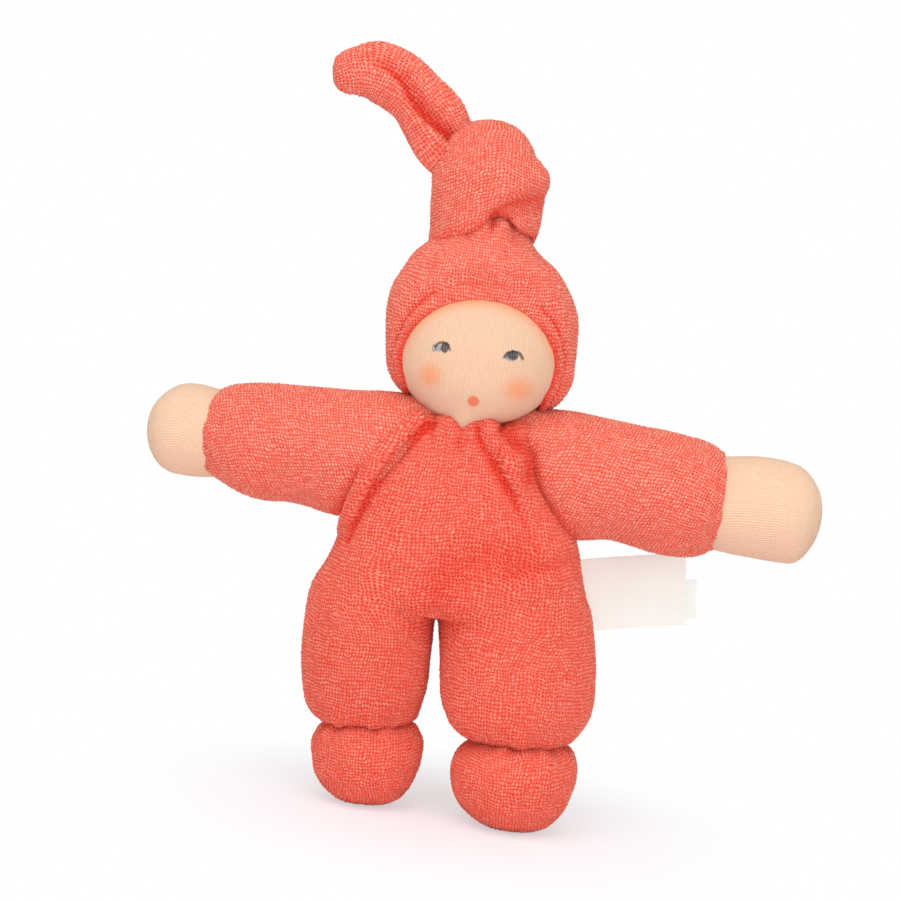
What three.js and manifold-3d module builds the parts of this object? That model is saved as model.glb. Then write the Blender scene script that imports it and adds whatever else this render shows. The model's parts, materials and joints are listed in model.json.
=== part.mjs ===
// A waldorf doll: a soft doll in a terry romper with a knotted hood, jersey head and hands and ball feet.
// Millimetres. It stands on its soles at Z = 0, faces -Y and has +Z up; its left side is +X.
// Each stuffed form is a cloth shell with its own wool inside. A limb ends in a rounded stump that sits
// in a socket of the piece that carries it, so it bends where the thin stuffing of the real doll bends.

import * as THREE from 'three';
import { mergeVertices } from 'three/addons/utils/BufferGeometryUtils.js';
import { ConvexGeometry } from 'three/addons/geometries/ConvexGeometry.js';
import Module from 'manifold-3d';

const wasm = await Module();
wasm.setup();

// Cloth, thread and the gaps between pieces
const terry_thickness = 2;
const jersey_thickness = 0.8;
const thread_radius = 0.5;
const sewn_gap = 0.3;
const joint_gap = 0.6;
const cut_overrun = 30;
const cut_reach = 150;
const weld_distance = 0.0001;

// Body
const crotch_height = 51.5;
const shoulder_height = 109;
const body_half_width = 36;
const body_half_depth = 21;
const side_seam_depth = 8;

// Shoulders and sleeves
const shoulder_level = 92;
const shoulder_spread = 26;
const shoulder_radius = 16.2;
const left_sleeve_length = 39;
const right_sleeve_length = 44.5;
const left_arm_sweep = 0;
const right_arm_sweep = 15;

// Hands, measured out from the cuff
const left_hand_length = 27;
const right_hand_length = 15.7;
const left_hand_radius = 13.3;
const right_hand_radius = 12;
const left_hand_droop = 4.4;
const right_hand_droop = 1;
const wrist_radius = 11.6;
const hand_tuck = 7;
const hand_mouth_share = 0.7;
const hand_flatness = 0.86;

// Hips and legs
const hip_level = 54;
const hip_radius = 18;
const left_hip_place = 18.9;
const right_hip_place = -20.7;
const left_leg_half_width = 20;
const right_leg_half_width = 16.3;
const leg_hem_rise = 1.8;
const left_foot_step = -4;
const right_foot_step = 4;

// Ankles and feet
const ankle_level = 22;
const ankle_radius = 9.5;
const ankle_thread_rise = 1.2;
const left_foot_place = 21.7;
const right_foot_place = -17.7;
const left_foot_half_width = 16.4;
const right_foot_half_width = 14.6;
const foot_depth_ratio = 1.04;
const toe_shift = 1.5;
const sole_cut = 0.5;

// Neck and head
const neck_level = 100;
const neck_radius = 9;
const neck_waist_radius = 6;
const neck_shoulder_rise = 2;
const neck_thread_rise = 3.1;
const neck_stub_rise = 7;
const neck_place = -1.2;
const neck_advance = 1.5;
const chin_height = 103.8;
const crown_height = 141.5;
const head_half_width = 22.2;
const head_half_depth = 21;

// Hood, its face opening, its knot and its tail
const hood_hem_height = 110.6;
const hood_foot_height = 106;
const hood_top_height = 152;
const hood_half_width = 24.7;
const hood_half_depth = 23.6;
const hood_lean = 2.8;
const face_half_width = 19.6;
const face_centre_height = 116.8;
const face_top_height = 133.5;
const face_cut_depth = 6;
const hem_width = 3.5;
const hem_thickness = 0.7;
const knot_half_width = 15;
const knot_half_depth = 13.5;
const knot_top_height = 181;
const wrap_ring_radius = 9.6;
const wrap_roll_radius = 5.6;
const wrap_tilt = 52;
const tail_root_left = 8.5;
const tail_root_drop = 8;
const tail_root_height = knot_top_height - tail_root_drop;
const tail_root_radius = 5.6;
const tail_half_width = 8.6;
const tail_half_depth = 5.2;
const tail_rise = 17.5;
const tail_reach = 31;
const tail_fold_share = 0.42;

// Labels in the side seam
const label_thickness = 0.8;
const label_length = 31;
const label_height = 20.2;
const label_level = 52.4;
const label_slant = 20;
const label_tilt = 5;
const label_notch_length = 7.5;
const label_notch_height = 15;
const care_label_length = 34.5;
const care_label_height = 12;
const care_label_level = 57.5;
const care_label_setback = 1.4;
const care_label_inset = 1.5;

// How far the joints turn, in degrees, where a socket has to leave room for it
const arm_raise_limit = 30;
const arm_lower_limit = 25;
const arm_forward_limit = 55;
const arm_back_limit = 15;
const leg_forward_limit = 60;
const leg_back_limit = 25;
const nod_forward_limit = 12;
const nod_back_limit = 10;
const tail_down_limit = 45;
const tail_up_limit = 25;

// Sides and rings of the faceted forms
const outer_sides = 18;
const room_sides = 16;
const inner_sides = 12;
const dome_rings = 4;
const round_power = 2;
const body_power = 2.3;

// Outlines of the forms: [height, half width, half depth], each a share of the form's own size
const body_shares = [
  [0, 0.7, 0.6],
  [0.05, 0.96, 0.9],
  [0.12, 0.99, 0.97],
  [0.2, 0.95, 1],
  [0.32, 0.88, 0.98],
  [0.4, 0.85, 0.95],
  [0.55, 0.8, 0.91],
  [0.7, 0.74, 0.88],
  [0.83, 0.66, 0.8],
  [0.93, 0.56, 0.68],
  [1, 0.4, 0.48],
];
const sleeve_shares = [
  [0.02, 1, 1],
  [0.12, 0.99, 0.98],
  [0.32, 0.95, 0.94],
  [0.5, 0.95, 0.92],
  [0.65, 0.965, 0.92],
  [0.79, 0.95, 0.9],
  [0.91, 0.88, 0.85],
  [1, 0.78, 0.77],
];
const left_hand_shares = [
  [0.11, 0.88],
  [0.3, 0.925],
  [0.52, 1],
  [0.7, 0.985],
  [0.84, 0.88],
  [0.94, 0.66],
  [1, 0.25],
];
const right_hand_shares = [
  [0.15, 0.985],
  [0.35, 1],
  [0.55, 0.97],
  [0.75, 0.85],
  [0.9, 0.62],
  [1, 0.25],
];
const leg_shares = [
  [0, 0.74],
  [0.07, 0.85],
  [0.2, 0.955],
  [0.34, 0.99],
  [0.6, 1],
  [0.97, 1],
];
const foot_shares = [
  [0, 0.44],
  [0.09, 0.66],
  [0.26, 0.85],
  [0.45, 0.96],
  [0.64, 1],
  [0.8, 0.97],
  [0.9, 0.87],
];
const foot_neck_share = 0.965;
const head_shares = [
  [0, 0.22, 0.22],
  [0.035, 0.45, 0.45],
  [0.085, 0.62, 0.63],
  [0.13, 0.76, 0.77],
  [0.2, 0.87, 0.89],
  [0.3, 0.96, 0.97],
  [0.44, 1, 1],
  [0.6, 0.985, 0.985],
  [0.75, 0.88, 0.89],
  [0.87, 0.69, 0.7],
  [0.95, 0.46, 0.46],
  [1, 0.2, 0.2],
];
const hood_shares = [
  [0, 0.78, 0.78],
  [0.11, 0.915, 0.915],
  [0.26, 0.975, 0.98],
  [0.43, 0.998, 1],
  [0.61, 0.985, 0.99],
  [0.7, 0.93, 0.94],
  [0.78, 0.84, 0.86],
  [0.87, 0.7, 0.72],
  [0.95, 0.58, 0.59],
  [1, 0.54, 0.54],
];
const knot_shares = [
  [0, 0.62],
  [0.12, 0.86],
  [0.28, 0.98],
  [0.5, 1],
  [0.7, 0.93],
  [0.86, 0.72],
  [0.95, 0.48],
  [1, 0.2],
];
const tail_shares = [
  [0.2, 0.76, 1],
  [0.4, 0.92, 1],
  [0.62, 0.97, 1],
  [0.8, 1, 0.97],
  [0.92, 0.86, 0.85],
  [0.98, 0.6, 0.65],
  [1, 0.35, 0.4],
];
const tail_bend_share = 0.42;
const label_notch_shares = [0.75, 0.56];

const up = new THREE.Vector3(0, 0, 1);
const radians = THREE.MathUtils.degToRad;

// Forms

// One section of a form: its centre, its half width along side and its half depth along front.
function section(centre, half_width, half_depth, side, front) {
  return {
    centre,
    half_width,
    half_depth,
    side: side ?? new THREE.Vector3(1, 0, 0),
    front: front ?? new THREE.Vector3(0, 1, 0),
  };
}

// The sections of a rounded stump: half an ellipsoid that starts at its pole and ends at its rim.
function dome(centre, half_width, half_depth, height, rings = dome_rings) {
  const sections = [];
  for (let ring = 0; ring < rings; ring += 1) {
    const angle = (Math.PI / 2) * (ring / rings);
    const rise = height * Math.cos(angle);
    const at = centre.clone().addScaledVector(up, rise);
    sections.push(section(at, half_width * Math.sin(angle), half_depth * Math.sin(angle)));
  }
  return sections;
}

// A closed mesh through the sections. An end section without width becomes the pole.
function formGeometry(sections, sides = outer_sides, power = round_power, bend = (x, y) => [x, y]) {
  const positions = [];
  const triangles = [];
  const rings = sections.filter((s) => s.half_width > 0);
  for (const ring of rings) {
    for (let i = 0; i < sides; i += 1) {
      const turn = (2 * Math.PI * i) / sides;
      const c = Math.cos(turn);
      const s = Math.sin(turn);
      const x = Math.sign(c) * Math.abs(c) ** (2 / power);
      const y = Math.sign(s) * Math.abs(s) ** (2 / power);
      const [across, deep] = bend(x, y);
      const point = ring.centre.clone();
      point.addScaledVector(ring.side, across * ring.half_width);
      point.addScaledVector(ring.front, deep * ring.half_depth);
      positions.push(...point);
    }
  }
  const first_pole = rings.length * sides;
  positions.push(...sections[0].centre, ...sections.at(-1).centre);
  for (let i = 0; i < sides; i += 1) {
    const next = (i + 1) % sides;
    triangles.push(first_pole, next, i);
    const last_ring = (rings.length - 1) * sides;
    triangles.push(first_pole + 1, last_ring + i, last_ring + next);
    for (let ring = 0; ring + 1 < rings.length; ring += 1) {
      const low = ring * sides;
      const high = low + sides;
      triangles.push(low + i, low + next, high + next);
      triangles.push(low + i, high + next, high + i);
    }
  }
  const geometry = new THREE.BufferGeometry();
  geometry.setAttribute('position', new THREE.Float32BufferAttribute(positions, 3));
  geometry.setIndex(triangles);
  return geometry;
}

// Cutting and joining

function solidOf(geometry, matrix = new THREE.Matrix4()) {
  const bare = new THREE.BufferGeometry();
  bare.setAttribute('position', geometry.getAttribute('position').clone());
  if (geometry.index) bare.setIndex(geometry.index);
  const merged = mergeVertices(bare.applyMatrix4(matrix), weld_distance);
  const solid = new wasm.Manifold(new wasm.Mesh({
    numProp: 3,
    vertProperties: merged.getAttribute('position').array,
    triVerts: Uint32Array.from(merged.index.array),
  }));
  return solid.volume() < 0 ? flipped(merged) : solid;
}

// The same solid with its faces turned outwards.
function flipped(geometry) {
  const corners = Uint32Array.from(geometry.index.array);
  for (let i = 0; i < corners.length; i += 3) {
    [corners[i + 1], corners[i + 2]] = [corners[i + 2], corners[i + 1]];
  }
  return new wasm.Manifold(new wasm.Mesh({
    numProp: 3,
    vertProperties: geometry.getAttribute('position').array,
    triVerts: corners,
  }));
}

// The largest body of a solid, without the crumbs that crossing cuts leave.
function mainBody(solid) {
  const bodies = solid.decompose();
  return bodies.sort((a, b) => b.volume() - a.volume())[0];
}

function cut(solid, ...tools) {
  return mainBody(tools.reduce((rest, tool) => rest.subtract(tool), solid));
}

function meshOf(name, solid, material) {
  const { vertProperties, triVerts } = solid.getMesh();
  const geometry = new THREE.BufferGeometry();
  geometry.setAttribute('position', new THREE.Float32BufferAttribute(vertProperties, 3));
  geometry.setIndex(new THREE.Uint32BufferAttribute(triVerts, 1));
  geometry.computeVertexNormals();
  const mesh = new THREE.Mesh(geometry, material);
  mesh.name = name;
  return mesh;
}

function ballGeometry(radius, sides = inner_sides) {
  return new THREE.SphereGeometry(radius, sides, sides / 2);
}

// A block that fills everything on one side of a plane through the origin: beyond +Z of the matrix.
function halfSpace(matrix, reach) {
  const block = new THREE.BoxGeometry(2 * reach, 2 * reach, reach);
  block.translate(0, 0, reach / 2);
  return solidOf(block, matrix);
}

// Everything lower than the given height.
function below(height) {
  return halfSpace(new THREE.Matrix4().makeRotationX(Math.PI).setPosition(0, 0, height), cut_reach);
}

function movedTo(x, y, z) {
  return new THREE.Matrix4().makeTranslation(x, y, z);
}

// Materials, one for each cloth

function clothMaterial(color, roughness) {
  return new THREE.MeshStandardMaterial({ color, roughness, metalness: 0 });
}
const terry = clothMaterial(0xf0624f, 0.95);
const jersey = clothMaterial(0xf3c5a0, 0.85);
const wool = clothMaterial(0xf1e8d6, 1);
const thread = clothMaterial(0xd9493a, 0.8);
const label_cloth = clothMaterial(0xf4eee6, 0.8);

// Sleeves, arms and hands. An arm's own frame has +Z out along the arm, +X up and its origin in the shoulder.

const left_arm = {
  side: 'left',
  direction: 1,
  sweep: left_arm_sweep,
  sleeve_length: left_sleeve_length,
  hand_length: left_hand_length,
  hand_radius: left_hand_radius,
  hand_droop: left_hand_droop,
  hand_shares: left_hand_shares,
};
const right_arm = {
  side: 'right',
  direction: -1,
  sweep: right_arm_sweep,
  sleeve_length: right_sleeve_length,
  hand_length: right_hand_length,
  hand_radius: right_hand_radius,
  hand_droop: right_hand_droop,
  hand_shares: right_hand_shares,
};

// The way an arm points when it is raised and swung forward by the given degrees.
function armMatrix(arm, raise = 0, forward = 0) {
  const sweep = radians(arm.sweep - forward);
  const out = new THREE.Vector3(arm.direction * Math.cos(sweep), Math.sin(sweep), 0);
  const basis = new THREE.Matrix4().makeBasis(up, new THREE.Vector3().crossVectors(out, up), out);
  const lift = new THREE.Matrix4().makeRotationY(-arm.direction * radians(raise));
  const place = movedTo(arm.direction * shoulder_spread, 0, shoulder_level);
  return place.multiply(lift).multiply(basis);
}

// The sleeve's outline, drawn in by the given wall all round.
function sleeveSections(arm, wall) {
  const round = shoulder_radius - wall;
  const stump = dome(new THREE.Vector3(), round, round, -round);
  const tube = sleeve_shares.map(([along, high, deep]) => section(
    new THREE.Vector3(0, 0, along * arm.sleeve_length),
    high * shoulder_radius - wall,
    deep * shoulder_radius - wall,
  ));
  return [...stump, ...tube];
}

function handSections(arm, wall) {
  const start = arm.sleeve_length;
  const wrist = [-hand_tuck, 0].map((back) => section(
    new THREE.Vector3(0, 0, start + back + (back < 0 ? wall : 0)),
    wrist_radius - wall,
    wrist_radius * hand_flatness - wall,
  ));
  const palm = arm.hand_shares.map(([along, round]) => section(
    new THREE.Vector3(-arm.hand_droop * along * along, 0, start + along * (arm.hand_length - wall)),
    round * (arm.hand_radius - wall),
    round * (arm.hand_radius * hand_flatness - wall),
  ));
  return [...wrist, ...palm];
}

function makeArm(arm) {
  const cuff_wool_end = arm.sleeve_length - hand_tuck - sewn_gap;
  const cavity_wall = terry_thickness;
  const wool_wall = terry_thickness + sewn_gap;
  const outer = solidOf(formGeometry(sleeveSections(arm, 0)));
  const cavity = solidOf(formGeometry(sleeveSections(arm, cavity_wall), inner_sides));
  const cuff_hole_width = wrist_radius + sewn_gap;
  const cuff_hole_depth = wrist_radius * hand_flatness + sewn_gap;
  const cuff_hole = solidOf(formGeometry([-hand_tuck, cut_overrun].map((back) => section(
    new THREE.Vector3(0, 0, arm.sleeve_length + back),
    cuff_hole_width,
    cuff_hole_depth,
  ))));
  const sleeve = cut(outer, cavity, cuff_hole);

  const shoulder_ball_radius = shoulder_radius - wool_wall - joint_gap;
  const shoulder_ball = solidOf(ballGeometry(shoulder_ball_radius));
  const shoulder_room = solidOf(ballGeometry(shoulder_ball_radius + joint_gap, room_sides));
  const past_cuff = halfSpace(movedTo(0, 0, cuff_wool_end), cut_reach);
  const back_half = below(0);
  const arm_wool = cut(
    solidOf(formGeometry(sleeveSections(arm, wool_wall), inner_sides)),
    shoulder_room,
    past_cuff,
    back_half,
  );

  const hand = solidOf(formGeometry(handSections(arm, 0)));
  const hand_cavity = solidOf(formGeometry(handSections(arm, jersey_thickness), inner_sides));
  const hand_mouth = solidOf(formGeometry([-1, 1].map((way) => section(
    new THREE.Vector3(0, 0, arm.sleeve_length - hand_tuck + (way * hand_tuck) / 2),
    wrist_radius * hand_mouth_share,
    wrist_radius * hand_flatness * hand_mouth_share,
  )), inner_sides));
  const hand_wool = solidOf(formGeometry(handSections(arm, jersey_thickness + sewn_gap), inner_sides));

  const group = new THREE.Group();
  group.applyMatrix4(armMatrix(arm));
  group.add(
    meshOf(`${arm.side}_sleeve`, sleeve, terry),
    meshOf(`${arm.side}_shoulder_wool`, shoulder_ball, wool),
    meshOf(`${arm.side}_arm_wool`, arm_wool, wool),
    meshOf(`${arm.side}_hand_skin`, cut(hand, hand_cavity, hand_mouth), jersey),
    meshOf(`${arm.side}_hand_wool`, hand_wool, wool),
  );
  return group;
}

// All the room that the arm's thick end sweeps as it is raised, lowered and swung.
function armRoom(arm) {
  const ball = ballGeometry(shoulder_radius + joint_gap, room_sides).getAttribute('position');
  const reach = arm.sleeve_length + arm.hand_length;
  const points = [];
  for (const raise of [-arm_lower_limit, 0, arm_raise_limit]) {
    for (const forward of [-arm_back_limit, 0, arm_forward_limit]) {
      const matrix = armMatrix(arm, raise, forward);
      for (const out of [0, reach]) {
        for (let i = 0; i < ball.count; i += 1) {
          const point = new THREE.Vector3().fromBufferAttribute(ball, i);
          point.z += out;
          points.push(point.applyMatrix4(matrix));
        }
      }
    }
  }
  return solidOf(new ConvexGeometry(points));
}

// Legs and feet. A leg's own frame has its origin in the hip, a foot's in the ankle.

const left_leg = {
  side: 'left',
  hip_place: left_hip_place,
  half_width: left_leg_half_width,
  foot_place: left_foot_place,
  foot_step: left_foot_step,
  foot_half_width: left_foot_half_width,
};
const right_leg = {
  side: 'right',
  hip_place: right_hip_place,
  half_width: right_leg_half_width,
  foot_place: right_foot_place,
  foot_step: right_foot_step,
  foot_half_width: right_foot_half_width,
};

// The leg's outline from its hem up into the rounded stump at the hip, drawn in by the given wall.
function legSections(leg, wall) {
  const foot_x = leg.foot_place - leg.hip_place;
  const hem = ankle_level + leg_hem_rise - hip_level;
  const tube = leg_shares.map(([share, round]) => {
    const lean = 1 - share;
    const centre = new THREE.Vector3(foot_x * lean, leg.foot_step * lean, hem * lean);
    return section(centre, round * leg.half_width - wall, round * hip_radius - wall);
  });
  const stump = dome(new THREE.Vector3(), leg.half_width - wall, hip_radius - wall, hip_radius - wall);
  return [...tube, ...stump.reverse()];
}

function makeLeg(leg) {
  const ankle = new THREE.Matrix4().makeTranslation(
    leg.foot_place - leg.hip_place,
    leg.foot_step,
    ankle_level - hip_level,
  );
  const mouth_radius = ankle_radius + sewn_gap + 2 * thread_radius + joint_gap;
  const mouth = solidOf(ballGeometry(mouth_radius, room_sides), ankle);
  const outer = solidOf(formGeometry(legSections(leg, 0)));
  const cavity = solidOf(formGeometry(legSections(leg, terry_thickness), inner_sides));
  const filling = solidOf(formGeometry(legSections(leg, terry_thickness + sewn_gap), inner_sides));
  const wool_mouth = solidOf(ballGeometry(mouth_radius + sewn_gap, room_sides), ankle);

  const group = new THREE.Group();
  group.position.set(leg.hip_place, 0, hip_level);
  group.add(
    meshOf(`${leg.side}_leg_cover`, cut(outer, cavity, mouth), terry),
    meshOf(`${leg.side}_leg_wool`, cut(filling, wool_mouth), wool),
  );
  const foot = makeFoot(leg);
  foot.applyMatrix4(ankle);
  group.add(foot);
  return group;
}

function footSections(leg, wall) {
  const height = ankle_level + sole_cut;
  const ball = foot_shares.map(([share, round]) => section(
    new THREE.Vector3(0, -toe_shift * Math.sin(Math.PI * share), height * (share - 1) + wall * (1 - share)),
    round * leg.foot_half_width - wall,
    round * leg.foot_half_width * foot_depth_ratio - wall,
  ));
  const neck = section(
    new THREE.Vector3(0, 0, height * (foot_neck_share - 1)),
    ankle_radius - wall,
    ankle_radius - wall,
  );
  const stump = dome(new THREE.Vector3(), ankle_radius - wall, ankle_radius - wall, ankle_radius - wall);
  return [...ball, neck, ...stump.reverse()];
}

function makeFoot(leg) {
  const outer = solidOf(formGeometry(footSections(leg, 0)));
  const cavity = solidOf(formGeometry(footSections(leg, terry_thickness), inner_sides));
  const filling = solidOf(formGeometry(footSections(leg, terry_thickness + sewn_gap), inner_sides));
  const top_hole = solidOf(new THREE.CylinderGeometry(
    ankle_radius / 2,
    ankle_radius / 2,
    ankle_radius,
    inner_sides,
  ), new THREE.Matrix4().makeRotationX(Math.PI / 2).setPosition(0, 0, ankle_radius));
  const floor = below(-ankle_level);
  const thread_reach = ankle_radius + sewn_gap + thread_radius;
  const tie_radius = Math.sqrt(thread_reach ** 2 - ankle_thread_rise ** 2);
  const tie = meshOf(`${leg.side}_ankle_thread`, ringSolid(tie_radius), thread);
  tie.position.z = ankle_thread_rise;
  const group = new THREE.Group();
  group.add(
    meshOf(`${leg.side}_foot_cover`, cut(outer, cavity, top_hole, floor), terry),
    meshOf(`${leg.side}_foot_wool`, filling, wool),
    tie,
  );
  return group;
}

// A round of thread, lying flat round Z.
function ringSolid(radius) {
  return solidOf(new THREE.TorusGeometry(radius, thread_radius, dome_rings, room_sides));
}

// All the room that a leg's thick end sweeps as it swings.
function legRoom(leg) {
  const ball = ballGeometry(1, room_sides).getAttribute('position');
  const size = new THREE.Vector3(leg.half_width + joint_gap, hip_radius + joint_gap, hip_radius + joint_gap);
  size.divideScalar(Math.cos(Math.PI / room_sides));
  const ankle = new THREE.Vector3(leg.foot_place - leg.hip_place, leg.foot_step, ankle_level - hip_level);
  const points = [];
  for (const forward of [-leg_back_limit, 0, leg_forward_limit]) {
    const matrix = movedTo(leg.hip_place, 0, hip_level);
    matrix.multiply(new THREE.Matrix4().makeRotationX(radians(-forward)));
    for (const down of [0, 1]) {
      for (let i = 0; i < ball.count; i += 1) {
        const point = new THREE.Vector3().fromBufferAttribute(ball, i).multiply(size);
        point.addScaledVector(ankle, down);
        points.push(point.applyMatrix4(matrix));
      }
    }
  }
  return solidOf(new ConvexGeometry(points));
}

// Head, neck and hood

function headSections(wall) {
  const height = crown_height - chin_height;
  return head_shares.map(([share, wide, deep]) => section(
    new THREE.Vector3(0, 0, chin_height + wall + share * (height - 2 * wall)),
    wide * (head_half_width - wall),
    deep * (head_half_depth - wall),
  ));
}

function hoodSections(grown = 0) {
  const height = hood_top_height - hood_foot_height;
  return hood_shares.map(([share, wide, deep]) => section(
    new THREE.Vector3(-hood_lean * share * share, 0, hood_foot_height + share * height),
    wide * hood_half_width + grown,
    deep * hood_half_depth + grown,
  ));
}

// The face opening's outline: round over the brow and straight down past the chin.
function faceOutline(margin) {
  const outline = new THREE.Shape();
  const half = face_half_width + margin;
  const rise = face_top_height - face_centre_height + margin;
  outline.moveTo(-half, face_centre_height - cut_overrun);
  outline.lineTo(half, face_centre_height - cut_overrun);
  outline.lineTo(half, face_centre_height);
  outline.absellipse(0, face_centre_height, half, rise, 0, Math.PI, false);
  outline.closePath();
  return outline;
}

function faceCut(margin) {
  const depth = cut_overrun + face_cut_depth;
  const geometry = new THREE.ExtrudeGeometry(faceOutline(margin), {
    depth,
    bevelEnabled: false,
    curveSegments: outer_sides,
  });
  return solidOf(geometry, new THREE.Matrix4().makeRotationX(Math.PI / 2).setPosition(0, -face_cut_depth, 0));
}

function makeHead() {
  const room = solidOf(formGeometry(headSections(-sewn_gap)));
  const hood_form = solidOf(formGeometry(hoodSections(), outer_sides + dome_rings));
  const hem_form = solidOf(formGeometry(hoodSections(hem_thickness), outer_sides + dome_rings));
  const hemmed = hood_form.add(hem_form.intersect(faceCut(hem_width)));
  const hood = cut(hemmed, room, faceCut(0), below(hood_hem_height));

  const stub_radius = neck_waist_radius + joint_gap;
  const neck_hole = solidOf(
    new THREE.CylinderGeometry(stub_radius, stub_radius, 2 * neck_stub_rise, inner_sides),
    new THREE.Matrix4().makeRotationX(Math.PI / 2).setPosition(0, 0, neck_level + joint_gap),
  );
  const skin_form = solidOf(formGeometry(headSections(0), outer_sides));
  const skin_cavity = solidOf(formGeometry(headSections(jersey_thickness), inner_sides));
  const head_filling = solidOf(formGeometry(headSections(jersey_thickness + sewn_gap), inner_sides));

  const group = new THREE.Group();
  group.position.set(neck_place, -neck_advance, 0);
  group.add(
    meshOf('hood', hood, terry),
    meshOf('head_skin', cut(skin_form, skin_cavity, neck_hole), jersey),
    meshOf('head_wool', cut(head_filling, neck_hole), wool),
  );
  return group;
}

// The knot: a swelling form with one roll of cloth slung round it, and a notch where the tail turns.
function makeKnot() {
  const low = hood_top_height + sewn_gap;
  const height = knot_top_height - low;
  const knot_form = solidOf(formGeometry(knot_shares.map(([share, round]) => section(
    new THREE.Vector3(0, 0, low + share * height),
    round * knot_half_width,
    round * knot_half_depth,
  ))));
  const roll_place = new THREE.Matrix4().makeRotationY(radians(wrap_tilt));
  roll_place.setPosition(0, 0, low + height / 2);
  const roll_shape = new THREE.TorusGeometry(wrap_ring_radius, wrap_roll_radius, 2 * dome_rings, outer_sides);
  const roll = solidOf(roll_shape, roll_place);
  return cut(knot_form.add(roll), below(low), tailRoom());
}

function tailPath() {
  return new THREE.QuadraticBezierCurve3(
    new THREE.Vector3(),
    new THREE.Vector3(-tail_bend_share * tail_reach, 0, tail_rise),
    new THREE.Vector3(-tail_reach, 0, tail_rise),
  );
}

// The tail's own frame has its origin in its root, where it turns about Y.
function tailSections() {
  const path = tailPath();
  const along = path.getTangent(0);
  const across = new THREE.Vector3(along.z, 0, -along.x);
  const sections = [];
  for (let ring = 0; ring <= dome_rings; ring += 1) {
    const angle = (Math.PI / 2) * (ring / dome_rings);
    const back = along.clone().multiplyScalar(-tail_root_radius * Math.cos(angle));
    const half_width = tail_root_radius * Math.sin(angle);
    sections.push(section(back, half_width, tail_half_depth * Math.sin(angle), across));
  }
  for (const [share, wide, deep] of tail_shares) {
    const tangent = path.getTangent(share);
    const side = new THREE.Vector3(tangent.z, 0, -tangent.x);
    sections.push(section(path.getPoint(share), wide * tail_half_width, deep * tail_half_depth, side));
  }
  return sections;
}

// The fold down the front of the tail: its front is pressed in along the middle.
function foldedFront(x, y) {
  const hollow = tail_fold_share * Math.exp(-((x / tail_bend_share) ** 2));
  return [x, y < 0 ? y * (1 - hollow) : y];
}

// All the room that the tail's root sweeps, in the knot's frame.
function tailRoom() {
  const ball = ballGeometry(1).getAttribute('position');
  const along = tailPath().getTangent(0);
  const rest = Math.atan2(along.z, along.x);
  const points = [];
  const reach = tail_reach;
  for (const turn of [-tail_up_limit, 0, tail_down_limit]) {
    const angle = rest + radians(turn);
    for (const [out, radius] of [[0, tail_root_radius], [reach, tail_half_width + tail_root_radius]]) {
      for (let i = 0; i < ball.count; i += 1) {
        const point = new THREE.Vector3().fromBufferAttribute(ball, i);
        point.x = point.x * (radius + joint_gap) + out * Math.cos(angle) - tail_root_left;
        point.y *= tail_half_depth + joint_gap;
        point.z = point.z * (radius + joint_gap) + out * Math.sin(angle) + tail_root_height;
        points.push(point);
      }
    }
  }
  return solidOf(new ConvexGeometry(points));
}

function makeHoodTop() {
  const group = new THREE.Group();
  group.position.set(neck_place - hood_lean, -neck_advance, 0);
  const tail_form = formGeometry(tailSections(), outer_sides, round_power, foldedFront);
  const tail = meshOf('hood_tail', solidOf(tail_form), terry);
  tail.position.set(-tail_root_left, 0, tail_root_height);
  group.add(meshOf('hood_knot', makeKnot(), terry), tail);
  return group;
}

// The neck: a round end in the body, a waist with its tie thread and a stub up inside the head.
function makeNeck() {
  const outline = [];
  const last = Math.asin(neck_shoulder_rise / neck_radius);
  const steps = 2 * dome_rings;
  for (let step = 0; step <= steps; step += 1) {
    const angle = -Math.PI / 2 + (last + Math.PI / 2) * (step / steps);
    const out = step === 0 ? 0 : neck_radius * Math.cos(angle);
    outline.push(new THREE.Vector2(out, neck_radius * Math.sin(angle)));
  }
  outline.push(new THREE.Vector2(neck_waist_radius, neck_shoulder_rise + sewn_gap));
  outline.push(new THREE.Vector2(neck_waist_radius, neck_stub_rise));
  outline.push(new THREE.Vector2(0, neck_stub_rise));
  const upright = new THREE.Matrix4().makeRotationX(Math.PI / 2);
  const neck = solidOf(new THREE.LatheGeometry(outline, room_sides), upright);
  const tie = meshOf('neck_thread', ringSolid(neck_waist_radius + sewn_gap + thread_radius), thread);
  tie.position.z = neck_thread_rise;
  const group = new THREE.Group();
  group.position.set(neck_place, -neck_advance, neck_level);
  group.add(meshOf('neck', neck, jersey), tie);
  return group;
}

// Body: two terry panels round the wool, with sockets for the limbs and a hollow for the head

function bodySections(wall) {
  const height = shoulder_height - crotch_height;
  return body_shares.map(([share, wide, deep]) => section(
    new THREE.Vector3(0, 0, crotch_height + wall + share * (height - 2 * wall)),
    wide * body_half_width - wall,
    deep * body_half_depth - wall,
  ));
}

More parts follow.
